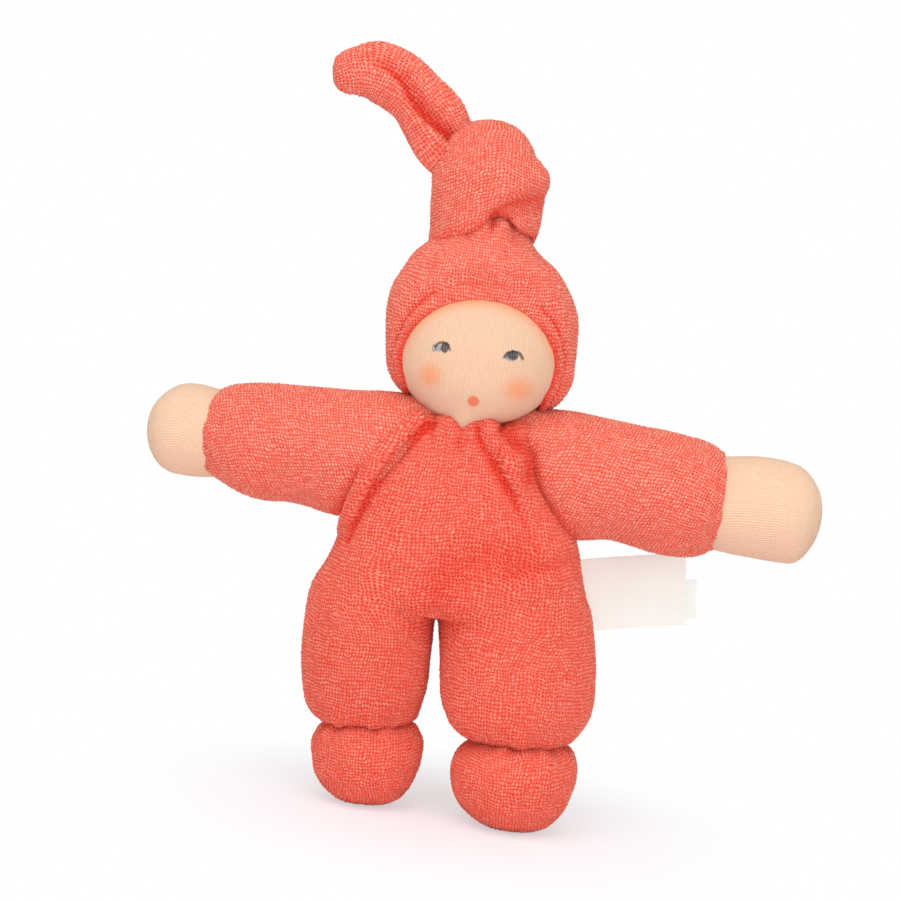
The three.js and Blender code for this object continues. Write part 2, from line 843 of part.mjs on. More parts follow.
// The hollow that the chin and the hood's hem need as the head nods, and the hole of the neck.
function headRoom() {
  const jaw = headSections(-joint_gap).filter(({ centre }) => centre.z < hood_hem_height - joint_gap);
  const hood = hoodSections().filter(({ centre }) => centre.z > hood_hem_height);
  const widest = hood_half_width + joint_gap;
  const hem_round = hood[0].half_width;
  const hem = section(new THREE.Vector3(0, 0, hood_hem_height - joint_gap), hem_round, hem_round);
  const around = [
    ...jaw.map(({ centre, half_width }) => section(centre, half_width, half_width)),
    hem,
    ...hood.map(({ centre }) => section(new THREE.Vector3(0, 0, centre.z), widest, widest)),
  ];
  const geometry = formGeometry(around, room_sides);
  const pivot = movedTo(neck_place, -neck_advance, neck_level);
  const back = movedTo(0, 0, -neck_level);
  const turned = [nod_forward_limit, 0, -nod_back_limit].map((nod) => solidOf(
    geometry,
    pivot.clone().multiply(new THREE.Matrix4().makeRotationX(radians(nod))).multiply(back),
  ));
  return turned.reduce((room, next) => room.add(next));
}

function neckRoom() {
  const place = movedTo(neck_place, -neck_advance, neck_level);
  const socket = solidOf(ballGeometry(neck_radius + joint_gap, outer_sides), place);
  const collar_radius = neck_radius + sewn_gap + 2 * thread_radius + sewn_gap;
  const collar_shape = new THREE.CylinderGeometry(collar_radius, collar_radius, cut_overrun, outer_sides);
  collar_shape.translate(0, cut_overrun / 2 - thread_radius - sewn_gap, 0);
  const upright = new THREE.Matrix4().makeRotationX(Math.PI / 2);
  return socket.add(solidOf(collar_shape, place.multiply(upright)));
}

function makeBody() {
  const rooms = [armRoom(left_arm), armRoom(right_arm), legRoom(left_leg), legRoom(right_leg)];
  rooms.push(headRoom(), neckRoom());
  const form = solidOf(formGeometry(bodySections(0), outer_sides + dome_rings, body_power));
  const cavity = solidOf(formGeometry(bodySections(terry_thickness), room_sides, body_power));
  const filling = solidOf(formGeometry(bodySections(terry_thickness + sewn_gap), room_sides, body_power));
  const backwards = new THREE.Matrix4().makeRotationX(-Math.PI / 2);
  const forwards = new THREE.Matrix4().makeRotationX(Math.PI / 2);
  const behind_seam = halfSpace(backwards.setPosition(0, side_seam_depth - sewn_gap / 2, 0), cut_reach);
  const before_seam = halfSpace(forwards.setPosition(0, side_seam_depth + sewn_gap / 2, 0), cut_reach);
  const gather = meshOf('neckline_thread', ringSolid(neck_radius + sewn_gap + thread_radius), thread);
  gather.position.set(neck_place, -neck_advance, neck_level);
  const group = new THREE.Group();
  group.add(
    meshOf('body_front', cut(form, cavity, ...rooms, behind_seam), terry),
    meshOf('body_back', cut(form, cavity, ...rooms, before_seam), terry),
    meshOf('body_wool', cut(filling, ...rooms), wool),
    gather,
  );
  return group;
}

// Labels: cloth tapes held by their inner edge in the left side seam. A label's own frame has its origin
// at the seam, +X out along the tape and +Z up. Below the seam's free length the tape clears the hip.

function tapeMesh(name, length, height, level) {
  const notch = label_notch_height + label_level - level;
  const bend_height = notch - label_notch_height * (1 - label_notch_shares[1]);
  const outline = new THREE.Shape();
  outline.moveTo(label_notch_length, 0);
  outline.lineTo(length, 0);
  outline.lineTo(length, height);
  outline.lineTo(0, height);
  outline.lineTo(0, notch);
  outline.lineTo(label_notch_length * label_notch_shares[0], bend_height);
  outline.closePath();
  const geometry = new THREE.ExtrudeGeometry(outline, { depth: label_thickness, bevelEnabled: false });
  const upright = new THREE.Matrix4().makeRotationX(Math.PI / 2).setPosition(0, label_thickness, 0);
  return meshOf(name, solidOf(geometry, upright), label_cloth);
}

function makeLabels() {
  const seam_height = label_level + label_notch_height;
  const share = (seam_height - crotch_height) / (shoulder_height - crotch_height);
  const next = body_shares.findIndex(([at]) => at > share);
  const [low, high] = [body_shares[next - 1], body_shares[next]];
  const between = (share - low[0]) / (high[0] - low[0]);
  const half_width = body_half_width * THREE.MathUtils.lerp(low[1], high[1], between);
  const half_depth = body_half_depth * THREE.MathUtils.lerp(low[2], high[2], between);
  const seam_place = half_width * (1 - (side_seam_depth / half_depth) ** body_power) ** (1 / body_power);
  const group = new THREE.Group();
  const hang = label_notch_height * Math.sin(radians(label_tilt));
  group.position.set(seam_place + sewn_gap + hang, side_seam_depth, label_level);
  group.rotation.set(0, radians(-label_tilt), radians(label_slant), 'ZYX');
  const care_label = tapeMesh('care_label', care_label_length, care_label_height, care_label_level);
  care_label.position.set(care_label_inset, care_label_setback, care_label_level - label_level);
  group.add(tapeMesh('woven_label', label_length, label_height, label_level), care_label);
  return group;
}

// The doll, with its origin on the floor under the middle of its outline
const doll = new THREE.Group();
const parts = new THREE.Group();
parts.add(makeBody(), makeNeck(), makeHead(), makeHoodTop(), makeLabels());
parts.add(makeArm(left_arm), makeArm(right_arm), makeLeg(left_leg), makeLeg(right_leg));
parts.updateMatrixWorld(true);
const middle = new THREE.Box3().setFromObject(parts, true).getCenter(new THREE.Vector3());
parts.position.set(-middle.x, -middle.y, 0);
doll.add(parts);

export default doll;
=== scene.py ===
"""The looks of a small waldorf doll in a terry romper with a knotted hood.

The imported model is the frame. Forms are worked out in millimetres in the doll's own frame: it
stands on Z = 0, faces -Y, and its left side is +X. A form's rows are its outline, read off a
real doll's proportions: a place along the form, the outline's middle and its half sizes.
"""

import itertools
import json
import logging
import math
from dataclasses import dataclass, field
from enum import Enum
from typing import Sequence

import bpy
import numpy as np
from mathutils import Matrix, Vector


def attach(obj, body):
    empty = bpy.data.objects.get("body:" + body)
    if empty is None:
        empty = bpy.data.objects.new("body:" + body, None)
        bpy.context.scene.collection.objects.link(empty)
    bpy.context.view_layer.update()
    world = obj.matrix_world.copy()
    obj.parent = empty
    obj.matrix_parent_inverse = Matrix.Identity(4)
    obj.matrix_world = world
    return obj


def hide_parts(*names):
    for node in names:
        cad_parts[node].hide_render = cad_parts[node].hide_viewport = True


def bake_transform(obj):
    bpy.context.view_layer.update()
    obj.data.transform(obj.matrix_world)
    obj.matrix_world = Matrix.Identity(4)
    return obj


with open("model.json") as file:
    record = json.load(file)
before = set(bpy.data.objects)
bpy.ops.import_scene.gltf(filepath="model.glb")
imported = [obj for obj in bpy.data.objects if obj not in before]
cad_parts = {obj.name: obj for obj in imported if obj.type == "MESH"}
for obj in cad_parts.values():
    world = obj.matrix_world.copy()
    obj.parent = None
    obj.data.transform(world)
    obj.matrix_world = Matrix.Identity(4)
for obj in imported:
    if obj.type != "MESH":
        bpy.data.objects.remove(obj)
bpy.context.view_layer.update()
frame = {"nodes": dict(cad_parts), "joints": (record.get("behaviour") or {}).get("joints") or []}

MM = 0.001
Array = np.ndarray
Rows = Sequence[Sequence[float]]
Range = tuple[float, float]
Colour = tuple[float, float, float]
log = logging.getLogger("waldorf_doll")

# The terry's loops: how much the wales and the rows raise them, and how far the wales sway
LOOP_WALES = 0.27
LOOP_ROWS = 0.23
LOOP_SWAY = 0.14

FULL_TURN = 2 * math.pi
WHITE = (1, 1, 1, 1)
UP = np.array([0.0, 0.0, 1.0])

# How finely forms are made: the places along a profile, and the least rings of a form and of its cap
PROFILE_PLACES = 600
LEAST_RINGS = 8
LEAST_CAP_RINGS = 2
TUBE_SIDES = 20
ROLL_STEPS = 9


# Numbers along and over a form

def through(rows: Rows, at: Array) -> Array:
    """Reads a table along its first column, on a smooth curve through its rows.

    Args:
        rows: the table, with its first column rising.
        at: the places to read it at.

    Returns:
        One line of the other columns for each place.
    """
    table = np.asarray(rows, float)
    place, values = table[:, 0], table[:, 1:]
    slopes = np.gradient(values, place, axis=0)
    low = np.clip(np.searchsorted(place, at, side="right") - 1, 0, len(place) - 2)
    span = (place[low + 1] - place[low])[:, None]
    share = np.clip((at - place[low])[:, None] / span, 0, 1)
    rest = 1 - share
    near = (1 + 2 * share) * rest**2 * values[low] + share * rest**2 * span * slopes[low]
    far = share**2 * (3 - 2 * share) * values[low + 1] - share**2 * rest * span * slopes[low + 1]
    return near + far


def ease(low: float, high: float, value: Array) -> Array:
    """Rises smoothly from 0 at low to 1 at high, or falls where high is the lower one."""
    share = np.clip((value - low) / (high - low), 0, 1)
    return share * share * (3 - 2 * share)


def hump(middle: float, reach: float, value: Array) -> Array:
    """Gives 1 at the middle and falls to nearly nothing past the reach on both sides."""
    return np.exp(-2 * ((value - middle) / reach) ** 2)


def humps(table: Rows, value: Array) -> Array:
    """Adds up humps, each given by its middle, its reach and its height."""
    return sum(height * hump(middle, reach, value) for middle, reach, height in table)


def unit(vectors: Array) -> Array:
    """Gives each vector the length 1."""
    return vectors / np.maximum(np.linalg.norm(vectors, axis=-1, keepdims=True), 1e-9)


def scatter(cells: Array, seed: int) -> Array:
    """Gives each whole-numbered cell three random numbers, always the same ones.

    Args:
        cells: the cells, one line of three whole numbers each.
        seed: another seed gives other numbers.

    Returns:
        Three numbers from 0 to 1 for each cell.
    """
    whole = cells.astype(np.int64)
    mixed = whole[:, 0] * 73856093 ^ whole[:, 1] * 19349663 ^ whole[:, 2] * 83492791 ^ seed * 40503
    numbers = []
    for axis in range(3):
        value = (mixed + axis * 0x9E3779B9) & 0xFFFFFFFF
        for _ in range(2):
            value = ((value ^ (value >> 16)) * 0x45D9F3B) & 0xFFFFFFFF
        numbers.append(((value ^ (value >> 16)) & 0xFFFFFF) / 0xFFFFFF)
    return np.stack(numbers, axis=1)


def soft_noise(points: Array, size: float, seed: int) -> Array:
    """Varies smoothly between -1 and 1 over lumps of the given size."""
    cells = points / size
    base = np.floor(cells)
    share = cells - base
    share = share * share * (3 - 2 * share)
    total = np.zeros(len(points))
    for corner in itertools.product((0, 1), repeat=3):
        weight = np.prod(np.where(np.array(corner) == 1, share, 1 - share), axis=1)
        total += weight * scatter(base + corner, seed)[:, 0]
    return 2 * total - 1


def wander(points: Array, size: float, seeds: tuple[int, int]) -> Array:
    """Lets the weave's two places drift smoothly over lumps of the given size."""
    return np.column_stack([soft_noise(points, size, seed) for seed in seeds])


def pleats(turn: Array, count: int, seed: int, spread: int = 3) -> Array:
    """Makes uneven waves round a ring.

    Args:
        turn: the angle round the ring, in radians.
        count: about how many waves there are.
        seed: another seed gives other waves.
        spread: how uneven they are.

    Returns:
        A height from -1 to 1 for each angle.
    """
    random = np.random.default_rng(seed)
    total = np.zeros_like(turn)
    for waves in range(count - spread, count + spread + 1):
        total += random.uniform(0.5, 1) * np.cos(waves * turn + random.uniform(0, FULL_TURN))
    return total / np.abs(total).max()


# Cloth in the making

@dataclass
class Skin:
    """A surface in the making: its points in millimetres, its faces and its values per point."""

    points: Array
    quads: Array
    triangles: Array = field(default_factory=lambda: np.zeros((0, 3), int))
    values: dict[str, Array] = field(default_factory=dict)

    @classmethod
    def of_rings(cls, rings: Array, start_closed: bool = True) -> "Skin":
        """Joins rings of points into a surface, whose last ring a pole closes.

        Args:
            rings: the points, ring by ring, each going once round.
            start_closed: whether a pole closes the first ring too.

        Returns:
            The surface, with its faces pointing out.
        """
        count, around = rings.shape[:2]
        index = np.arange(count * around).reshape(count, around)
        beside = np.roll(index, -1, axis=1)
        corners = (index[:-1], beside[:-1], beside[1:], index[1:])
        quads = np.stack([corner.ravel() for corner in corners], axis=1)
        points = rings.reshape(-1, 3)
        fans = []
        for ring, after in ((index[0], False), (index[-1], True)):
            if after or start_closed:
                pole = np.full(around, len(points))
                points = np.vstack([points, points[ring].mean(axis=0)])
                pair = (ring, np.roll(ring, -1)) if after else (np.roll(ring, -1), ring)
                fans.append(np.stack([*pair, pole], axis=1))
        skin = cls(points, quads, np.vstack(fans))
        inside = points.mean(axis=0)
        if ((points - inside) * skin.normals()).sum() < 0:
            skin.quads = skin.quads[:, ::-1]
            skin.triangles = skin.triangles[:, ::-1]
        return skin

    @classmethod
    def of_object(cls, piece: bpy.types.Object) -> "Skin":
        """Reads an object whose faces all have four corners, and removes it."""
        mesh = piece.data
        points = np.zeros(len(mesh.vertices) * 3, np.float32)
        mesh.vertices.foreach_get("co", points)
        corners = np.zeros(len(mesh.loops), np.int32)
        mesh.loops.foreach_get("vertex_index", corners)
        skin = cls(points.reshape(-1, 3).astype(float) / MM, corners.reshape(-1, 4).astype(int))
        bpy.data.meshes.remove(mesh)
        return skin

    def spread(self, per_face: Array, corners: Array) -> Array:
        """Adds up the faces' vectors at their corners."""
        columns = []
        for axis in range(3):
            weights = np.repeat(per_face[:, axis], corners.shape[1])
            columns.append(np.bincount(corners.ravel(), weights, len(self.points)))
        return np.stack(columns, axis=1)

    def normals(self) -> Array:
        """Gives the direction that the surface faces at each point."""
        a, b, c, d = (self.points[self.quads[:, corner]] for corner in range(4))
        total = self.spread(np.cross(c - a, d - b), self.quads)
        if len(self.triangles):
            a, b, c = (self.points[self.triangles[:, corner]] for corner in range(3))
            total += self.spread(np.cross(b - a, c - a), self.triangles)
        return unit(total)

    def spacing(self) -> Array:
        """Gives the shorter of the mean side lengths of the faces round each point."""
        corners = self.points[self.quads]
        sides = np.linalg.norm(np.roll(corners, -1, axis=1) - corners, axis=2)
        shorter = np.minimum(sides[:, 0] + sides[:, 2], sides[:, 1] + sides[:, 3]) / 2
        total = np.bincount(self.quads.ravel(), np.repeat(shorter, 4), len(self.points))
        return total / np.maximum(np.bincount(self.quads.ravel(), minlength=len(self.points)), 1)

    def smoothed(self, times: int, values: Array) -> Array:
        """Averages values with those of the neighbouring points.

        Args:
            times: how often each value moves halfway to its neighbours' average.
            values: one line of numbers per point.

        Returns:
            The averaged values.
        """
        starts, ends = [], []
        for corners in (self.quads, self.triangles):
            starts.append(corners.ravel())
            ends.append(np.roll(corners, -1, axis=1).ravel())
        start, end = np.concatenate(starts), np.concatenate(ends)
        both, others = np.concatenate([start, end]), np.concatenate([end, start])
        share = 0.5 / np.maximum(np.bincount(both, minlength=len(values)), 1)
        values = values.copy()
        for _ in range(times):
            for column in range(values.shape[1]):
                total = np.bincount(both, values[others, column], len(values))
                values[:, column] = values[:, column] / 2 + total * share
        return values

    def push(self, distance: Array) -> None:
        """Moves the points out along the surface's normals, in millimetres."""
        self.points = self.points + self.normals() * distance[:, None]

    def kept(self, wanted: Array) -> "Skin":
        """Keeps the faces whose corners are all wanted, without the rest."""
        quads = self.quads[wanted[self.quads].all(axis=1)]
        triangles = self.triangles[wanted[self.triangles].all(axis=1)]
        used = np.unique(np.concatenate([quads.ravel(), triangles.ravel()]))
        index = np.full(len(self.points), -1)
        index[used] = np.arange(len(used))
        values = {name: value[used] for name, value in self.values.items()}
        return Skin(self.points[used], index[quads], index[triangles], values)

    def piece(self, name: str, material: bpy.types.Material | None = None) -> bpy.types.Object:
        """Makes the finished surface an object.

        Args:
            name: the piece's name.
            material: its finish.

        Returns:
            The object, with its origin at the frame's origin.
        """
        mesh = bpy.data.meshes.new(name)
        mesh.from_pydata((self.points * MM).tolist(), [], self.quads.tolist() + self.triangles.tolist())
        mesh.polygons.foreach_set("use_smooth", np.ones(len(mesh.polygons), bool))
        for value_name, value in self.values.items():
            attribute = mesh.attributes.new(value_name, "FLOAT", "POINT")
            attribute.data.foreach_set("value", value.astype(np.float32))
        mesh.update()
        piece = bpy.data.objects.new(name, mesh)
        bpy.context.scene.collection.objects.link(piece)
        if material:
            mesh.materials.append(material)
        return piece


def profile(rows: Rows) -> tuple[Array, Array]:
    """Gives fine places along a form's rows, and how far each is from the start on its surface."""
    fine = np.linspace(rows[0][0], rows[-1][0], PROFILE_PLACES)
    half_sizes = through(rows, fine)[:, -2:].mean(axis=1)
    return fine, np.concatenate([[0], np.cumsum(np.hypot(np.diff(fine), np.diff(half_sizes)))])


def even_places(rows: Rows, step: float) -> Array:
    """Finds places along a form's rows that are the given step apart on its surface."""
    fine, run = profile(rows)
    return np.interp(np.linspace(0, run[-1], max(int(run[-1] / step), LEAST_RINGS)), run, fine)


def capped(rings: Array, step: float, start_rise: float, end_rise: float) -> Array:
    """Closes a form's ends with rings that shrink to a point.

    Args:
        rings: the form's rings.
        step: the distance between the new rings.
        start_rise: how far the first end bulges.
        end_rise: how far the last end bulges.

    Returns:
        All the rings.
    """
    caps = []
    for ring, inner, rise in ((rings[0], rings[1], start_rise), (rings[-1], rings[-2], end_rise)):
        middle = ring.mean(axis=0)
        outward = unit(middle - inner.mean(axis=0))
        count = max(int(np.linalg.norm(ring - middle, axis=1).mean() / step), LEAST_CAP_RINGS)
        share = np.linspace(1, 0, count, endpoint=False)[1:, None, None]
        caps.append(middle + (ring - middle) * share + outward * rise * (1 - share**2))
    return np.concatenate([caps[0][::-1], rings, caps[1]])


def level_rings(rows: Rows, step: float, power: float = 2.0) -> Array:
    """Makes level rings from a form's rows.

    Args:
        rows: the height, the middle across, the middle in depth and the two half sizes.
        step: the distance between points.
        power: 2 for an ellipse, more for a squarer ring.

    Returns:
        The rings.
    """
    places = even_places(rows, step)
    middle_x, middle_y, half_width, half_depth = through(rows, places).T
    turn = np.linspace(0, FULL_TURN, int(FULL_TURN * half_width.max() / step), endpoint=False)
    cosine, sine = np.cos(turn), np.sin(turn)
    across = np.sign(cosine) * np.abs(cosine) ** (2 / power)
    deep = np.sign(sine) * np.abs(sine) ** (2 / power)
    x = middle_x[:, None] + half_width[:, None] * across
    y = middle_y[:, None] + half_depth[:, None] * deep
    return np.stack([x, y, np.broadcast_to(places[:, None], x.shape)], axis=2)


def drawn_in(rows: Rows, heights: Range, inset: float) -> Rows:
    """Gives an upright form's rows between two heights, with their half sizes less by an inset."""
    lowest, highest = heights
    inside = [row for row in rows if lowest <= row[0] <= highest]
    return [(z, x, y, wide - inset, deep - inset) for z, x, y, wide, deep in inside]


def tube_rings(path: Rows, step: float) -> Array:
    """Makes rings round a path of points, each with its radius as the fourth number."""
    table = np.asarray(path, float)
    numbered = np.column_stack([np.arange(len(table)), table])
    length = np.linalg.norm(np.diff(table[:, :3], axis=0), axis=1).sum()
    spots = through(numbered, np.linspace(0, len(table) - 1, int(length / step)))
    along = unit(np.gradient(spots[:, :3], axis=0))
    side = unit(np.cross(along, (0.0, 1.0, 0.0)))
    front = np.cross(side, along)
    turn = np.linspace(0, FULL_TURN, TUBE_SIDES, endpoint=False)[None, :, None]
    round_it = np.cos(turn) * side[:, None] + np.sin(turn) * front[:, None]
    return spots[:, None, :3] + round_it * spots[:, None, 3:4]


def weave_places(rings: Array, start: int, start_closed: bool = True) -> Array:
    """Measures each ring point's place in the cloth.

    Args:
        rings: the form's rings.
        start: the column from which the way round is measured on both sides.
        start_closed: whether a pole closes the first ring, as one does the last.

    Returns:
        The way round and the way along for each point of the form, in millimetres.
    """
    apart = np.linalg.norm(np.roll(rings, -1, axis=1) - rings, axis=2)
    apart = np.roll(apart, -start, axis=1)
    way = np.cumsum(apart, axis=1) - apart
    whole = apart.sum(axis=1, keepdims=True)
    way_round = np.roll(np.where(way > whole / 2, way - whole, way), start, axis=1)
    steps = np.linalg.norm(np.diff(rings, axis=0), axis=2)
    way_along = np.vstack([np.zeros((1, rings.shape[1])), np.cumsum(steps, axis=0)])
    places = np.column_stack([way_round.ravel(), way_along.ravel()])
    ends = (way_along[0], way_along[-1]) if start_closed else (way_along[-1],)
    return np.vstack([places, *((0.0, ring.mean()) for ring in ends)])


def form_weave(points: Array, rows: Rows) -> Array:
    """Measures each point's place in the cloth of an upright form, from the middle of its front and back.

    Args:
        points: the points.
        rows: the form's rows of height, middle across, middle in depth and the two half sizes.

    Returns:
        The way to the side and the height for each point, in millimetres.
    """
    x, y, z = points.T
    middle_x, middle_y, wide, deep = through(rows, np.clip(z, rows[0][0], rows[-1][0])).T
    turn = np.arctan2((x - middle_x) / wide, np.abs(y - middle_y) / deep)
    size = (wide + deep) / 2
    return np.column_stack([middle_x + turn * np.sqrt(size * size.max()), z])


def line_distance(points: Array, line: Rows) -> Array:
    """Gives each point's distance from a line of (x, z) places, seen from the front."""
    places = points[:, [0, 2]]
    nearest = np.full(len(points), np.inf)
    for start, end in itertools.pairwise(np.asarray(line, float)):
        way = end - start
        share = np.clip((places - start) @ way / (way @ way), 0, 1)
        foot = start + share[:, None] * way
        nearest = np.minimum(nearest, np.linalg.norm(places - foot, axis=1))
    return nearest


# Shader nodes

class Socket:
    """A shader socket, on which Python's operators add Math nodes."""

    def __init__(self, graph: "Graph", link: bpy.types.NodeSocket) -> None:
        """Wraps a socket of the graph."""
        self.graph = graph
        self.link = link

    def __add__(self, other: "Value") -> "Socket":
        """Adds."""
        return self.graph.math("ADD", self, other)

    def __sub__(self, other: "Value") -> "Socket":
        """Subtracts."""
        return self.graph.math("SUBTRACT", self, other)

    def __mul__(self, other: "Value") -> "Socket":
        """Multiplies."""
        return self.graph.math("MULTIPLY", self, other)

    def __truediv__(self, other: "Value") -> "Socket":
        """Divides."""
        return self.graph.math("DIVIDE", self, other)

    def __rsub__(self, other: "Value") -> "Socket":
        """Subtracts from a number."""
        return self.graph.math("SUBTRACT", other, self)

    def __pow__(self, other: "Value") -> "Socket":
        """Raises to a power."""
        return self.graph.math("POWER", self, other)

    __radd__ = __add__
    __rmul__ = __mul__


Value = Socket | float


class Graph:
    """A node tree in the making, on a material or on the world."""

    def __init__(self, owner: bpy.types.Material | bpy.types.World) -> None:
        """Starts an empty tree on its owner."""
        self.owner = owner
        owner.use_nodes = True
        self.tree = owner.node_tree
        self.tree.nodes.clear()

    @classmethod
    def of_material(cls, name: str) -> "Graph":
        """Starts a new material."""
        return cls(bpy.data.materials.new(name))

    def node(self, kind: str, settings: dict | None = None, inputs: dict | None = None) -> bpy.types.Node:
        """Adds a node.

        Args:
            kind: the node's type.
            settings: its own settings, which are made first. A ramp's are its stops.
            inputs: a value or a socket for each of its inputs, by name or number.

        Returns:
            The node.
        """
        node = self.tree.nodes.new(kind)
        for name, value in (settings or {}).items():
            if name == "stops":
                for place, colour in value[1:-1]:
                    node.color_ramp.elements.new(place)
                for element, (place, colour) in zip(node.color_ramp.elements, value):
                    element.position = place
                    element.color = (*colour, 1)
            else:
                setattr(node, name, value)
        for name, value in (inputs or {}).items():
            if isinstance(value, Socket):
                self.tree.links.new(value.link, node.inputs[name])
            else:
                node.inputs[name].default_value = value
        return node

    def socket(
        self,
        kind: str,
        settings: dict | None = None,
        inputs: dict | None = None,
        output: str | int = 0,
    ) -> Socket:
        """Adds a node in the same way and gives one of its outputs."""
        return Socket(self, self.node(kind, settings, inputs).outputs[output])

    def math(self, operation: str, *values: Value) -> Socket:
        """Adds a Math node and gives its result."""
        return self.socket("ShaderNodeMath", {"operation": operation}, dict(enumerate(values)))

    def within(self, value: Value, low: float, high: float) -> Socket:
        """Rises smoothly from 0 at low to 1 at high."""
        inputs = {"Value": value, "From Min": low, "From Max": high}
        return self.socket("ShaderNodeMapRange", {"interpolation_type": "SMOOTHSTEP"}, inputs, "Result")

    def wave(self, place: Value, width: float) -> Socket:
        """Gives even waves of that width, from 0 to 1."""
        return self.math("SINE", place * (FULL_TURN / width)) * 0.5 + 0.5

    def mix(
        self,
        share: Value,
        first: "Colour | Socket",
        second: "Colour | Socket",
        blend: str = "MIX",
    ) -> Socket:
        """Mixes two colours, given as three numbers or as sockets.

        Args:
            share: how much of the second colour there is, from 0 to 1.
            first: the first colour.
            second: the second colour.
            blend: the Mix node's way of blending.

        Returns:
            The mixed colour.
        """
        colours = [one if isinstance(one, Socket) else (*one, 1) for one in (first, second)]
        settings = {"data_type": "RGBA", "blend_type": blend}
        return self.socket("ShaderNodeMix", settings, {0: share, 6: colours[0], 7: colours[1]}, 2)

    def ramp(self, value: Socket, stops: Sequence[tuple[float, Colour]]) -> Socket:
        """Turns a value into a colour."""
        return self.socket("ShaderNodeValToRGB", {"stops": stops}, {"Fac": value}, "Color")

    def attribute(self, name: str) -> Socket:
        """Reads a value that the mesh holds at its points."""
        return self.socket("ShaderNodeAttribute", {"attribute_name": name}, None, "Fac")

    def place(self) -> Socket:
        """Gives the place on the object, in metres."""
        return self.socket("ShaderNodeTexCoord", output="Object")

    def axes(self) -> tuple[Socket, Socket, Socket]:
        """Gives the place on the object as three numbers in millimetres."""
        node = self.node("ShaderNodeSeparateXYZ", None, {0: self.place()})
        x, y, z = (Socket(self, output) * (1 / MM) for output in node.outputs)
        return x, y, z

    def noise(self, size: float, detail: float = 2.0) -> Socket:
        """Gives noise with lumps of the given size in millimetres."""
        inputs = {"Vector": self.place(), "Scale": 1 / (size * MM), "Detail": detail}
        return self.socket("ShaderNodeTexNoise", None, inputs)

    def bump(self, height: Socket, depth: float) -> Socket:
        """Turns a height from 0 to 1, that deep in millimetres, into a normal."""
        return self.socket("ShaderNodeBump", None, {"Height": height, "Distance": depth * MM}, "Normal")

    def finish(self, **inputs: "Value | Colour") -> bpy.types.Material:
        """Ends the tree in a Principled surface with these inputs, written with underscores."""
        named = {name.replace("_", " "): value for name, value in inputs.items()}
        shader = self.socket("ShaderNodeBsdfPrincipled", None, named)
        self.node("ShaderNodeOutputMaterial", None, {"Surface": shader})
        return self.owner


# Finishes

@dataclass(frozen=True)
class Terry:
    """Coral terry: painted shade between the loops, a painted highlight on their tips, and painted shade, a
    deeper red, in the folds.
    """

    name: str = "coral_terry"
    between: Colour = (0.78, 0.050, 0.027)
    loop: Colour = (0.92, 0.160, 0.106)
    tip: Colour = (0.95, 0.350, 0.262)
    # painted shade: the deeper red that the deep value multiplies into hollows and folds
    fold: Colour = (0.93, 0.37, 0.29)
    tone_least: float = 0.66
    tone_spread: float = 0.5
    lift: float = 0.02
    fibre_size: float = 0.34
    cloud_size: float = 9.0
    cloud_share: float = 0.15
    fold_shade_share: float = 0.85
    bump_depth: float = 0.30
    glow: float = 0.35
    glow_reach: float = 1.1

    def material(self) -> bpy.types.Material:
        """Makes the finish."""
        graph = Graph.of_material(self.name)
        across, along, deep = (graph.attribute(name) for name in ("across", "along", "deep"))
        sway = graph.math("SINE", along * FULL_TURN) * LOOP_SWAY
        wales = graph.math("COSINE", (across + sway) * FULL_TURN)
        rows = graph.math("COSINE", along * FULL_TURN)
        loop = wales * LOOP_WALES + rows * LOOP_ROWS + 0.5
        cell = graph.socket("ShaderNodeCombineXYZ", None, {
            0: graph.math("FLOOR", across + sway + 0.5),
            1: graph.math("FLOOR", along + 0.5),
        })
        flat = {"noise_dimensions": "2D"}
        tone = graph.socket("ShaderNodeTexWhiteNoise", flat, {"Vector": cell}, "Value")
        fibre = graph.noise(self.fibre_size, 3.0)
        cloud = graph.within(graph.noise(self.cloud_size), 0.35, 0.75)
        # The ramp paints shade into the hollows between the loops and a highlight on their tips, over each
        # loop's random tone
        lit = loop * (tone * self.tone_spread + self.tone_least) + (fibre - 0.5) + self.lift
        colour = graph.ramp(lit, [(0.05, self.between), (0.5, self.loop), (1.0, self.tip)])
        colour = graph.mix(cloud * self.cloud_share, colour, self.loop)
        # Painted shade in the hollows and folds, where the deep value is high
        colour = graph.mix(deep * self.fold_shade_share, colour, self.fold, "MULTIPLY")
        normal = graph.bump(loop * 0.6 + fibre * 0.55, self.bump_depth)
        return graph.finish(
            Base_Color=colour,
            Roughness=0.95,
            Specular_IOR_Level=0.1,
            Subsurface_Weight=self.glow,
            Subsurface_Radius=(1.0, 0.25, 0.15),
            Subsurface_Scale=self.glow_reach * MM,
            Sheen_Weight=0.12,
            Sheen_Roughness=0.5,
            Sheen_Tint=(1.0, 0.45, 0.36, 1),
            Normal=normal,
        )


@dataclass(frozen=True)
class Spot:
    """A painted place on the face: its middle and its half sizes, in millimetres."""

    x: float
    z: float
    half_width: float
    half_height: float

    def distance(self, graph: Graph, x: Socket, z: Socket) -> Socket:
        """Gives 0 in the spot's middle and 1 on its outline."""
        across = (x - self.x) / self.half_width
        up = (z - self.z) / self.half_height
        return (across * across + up * up) ** 0.5


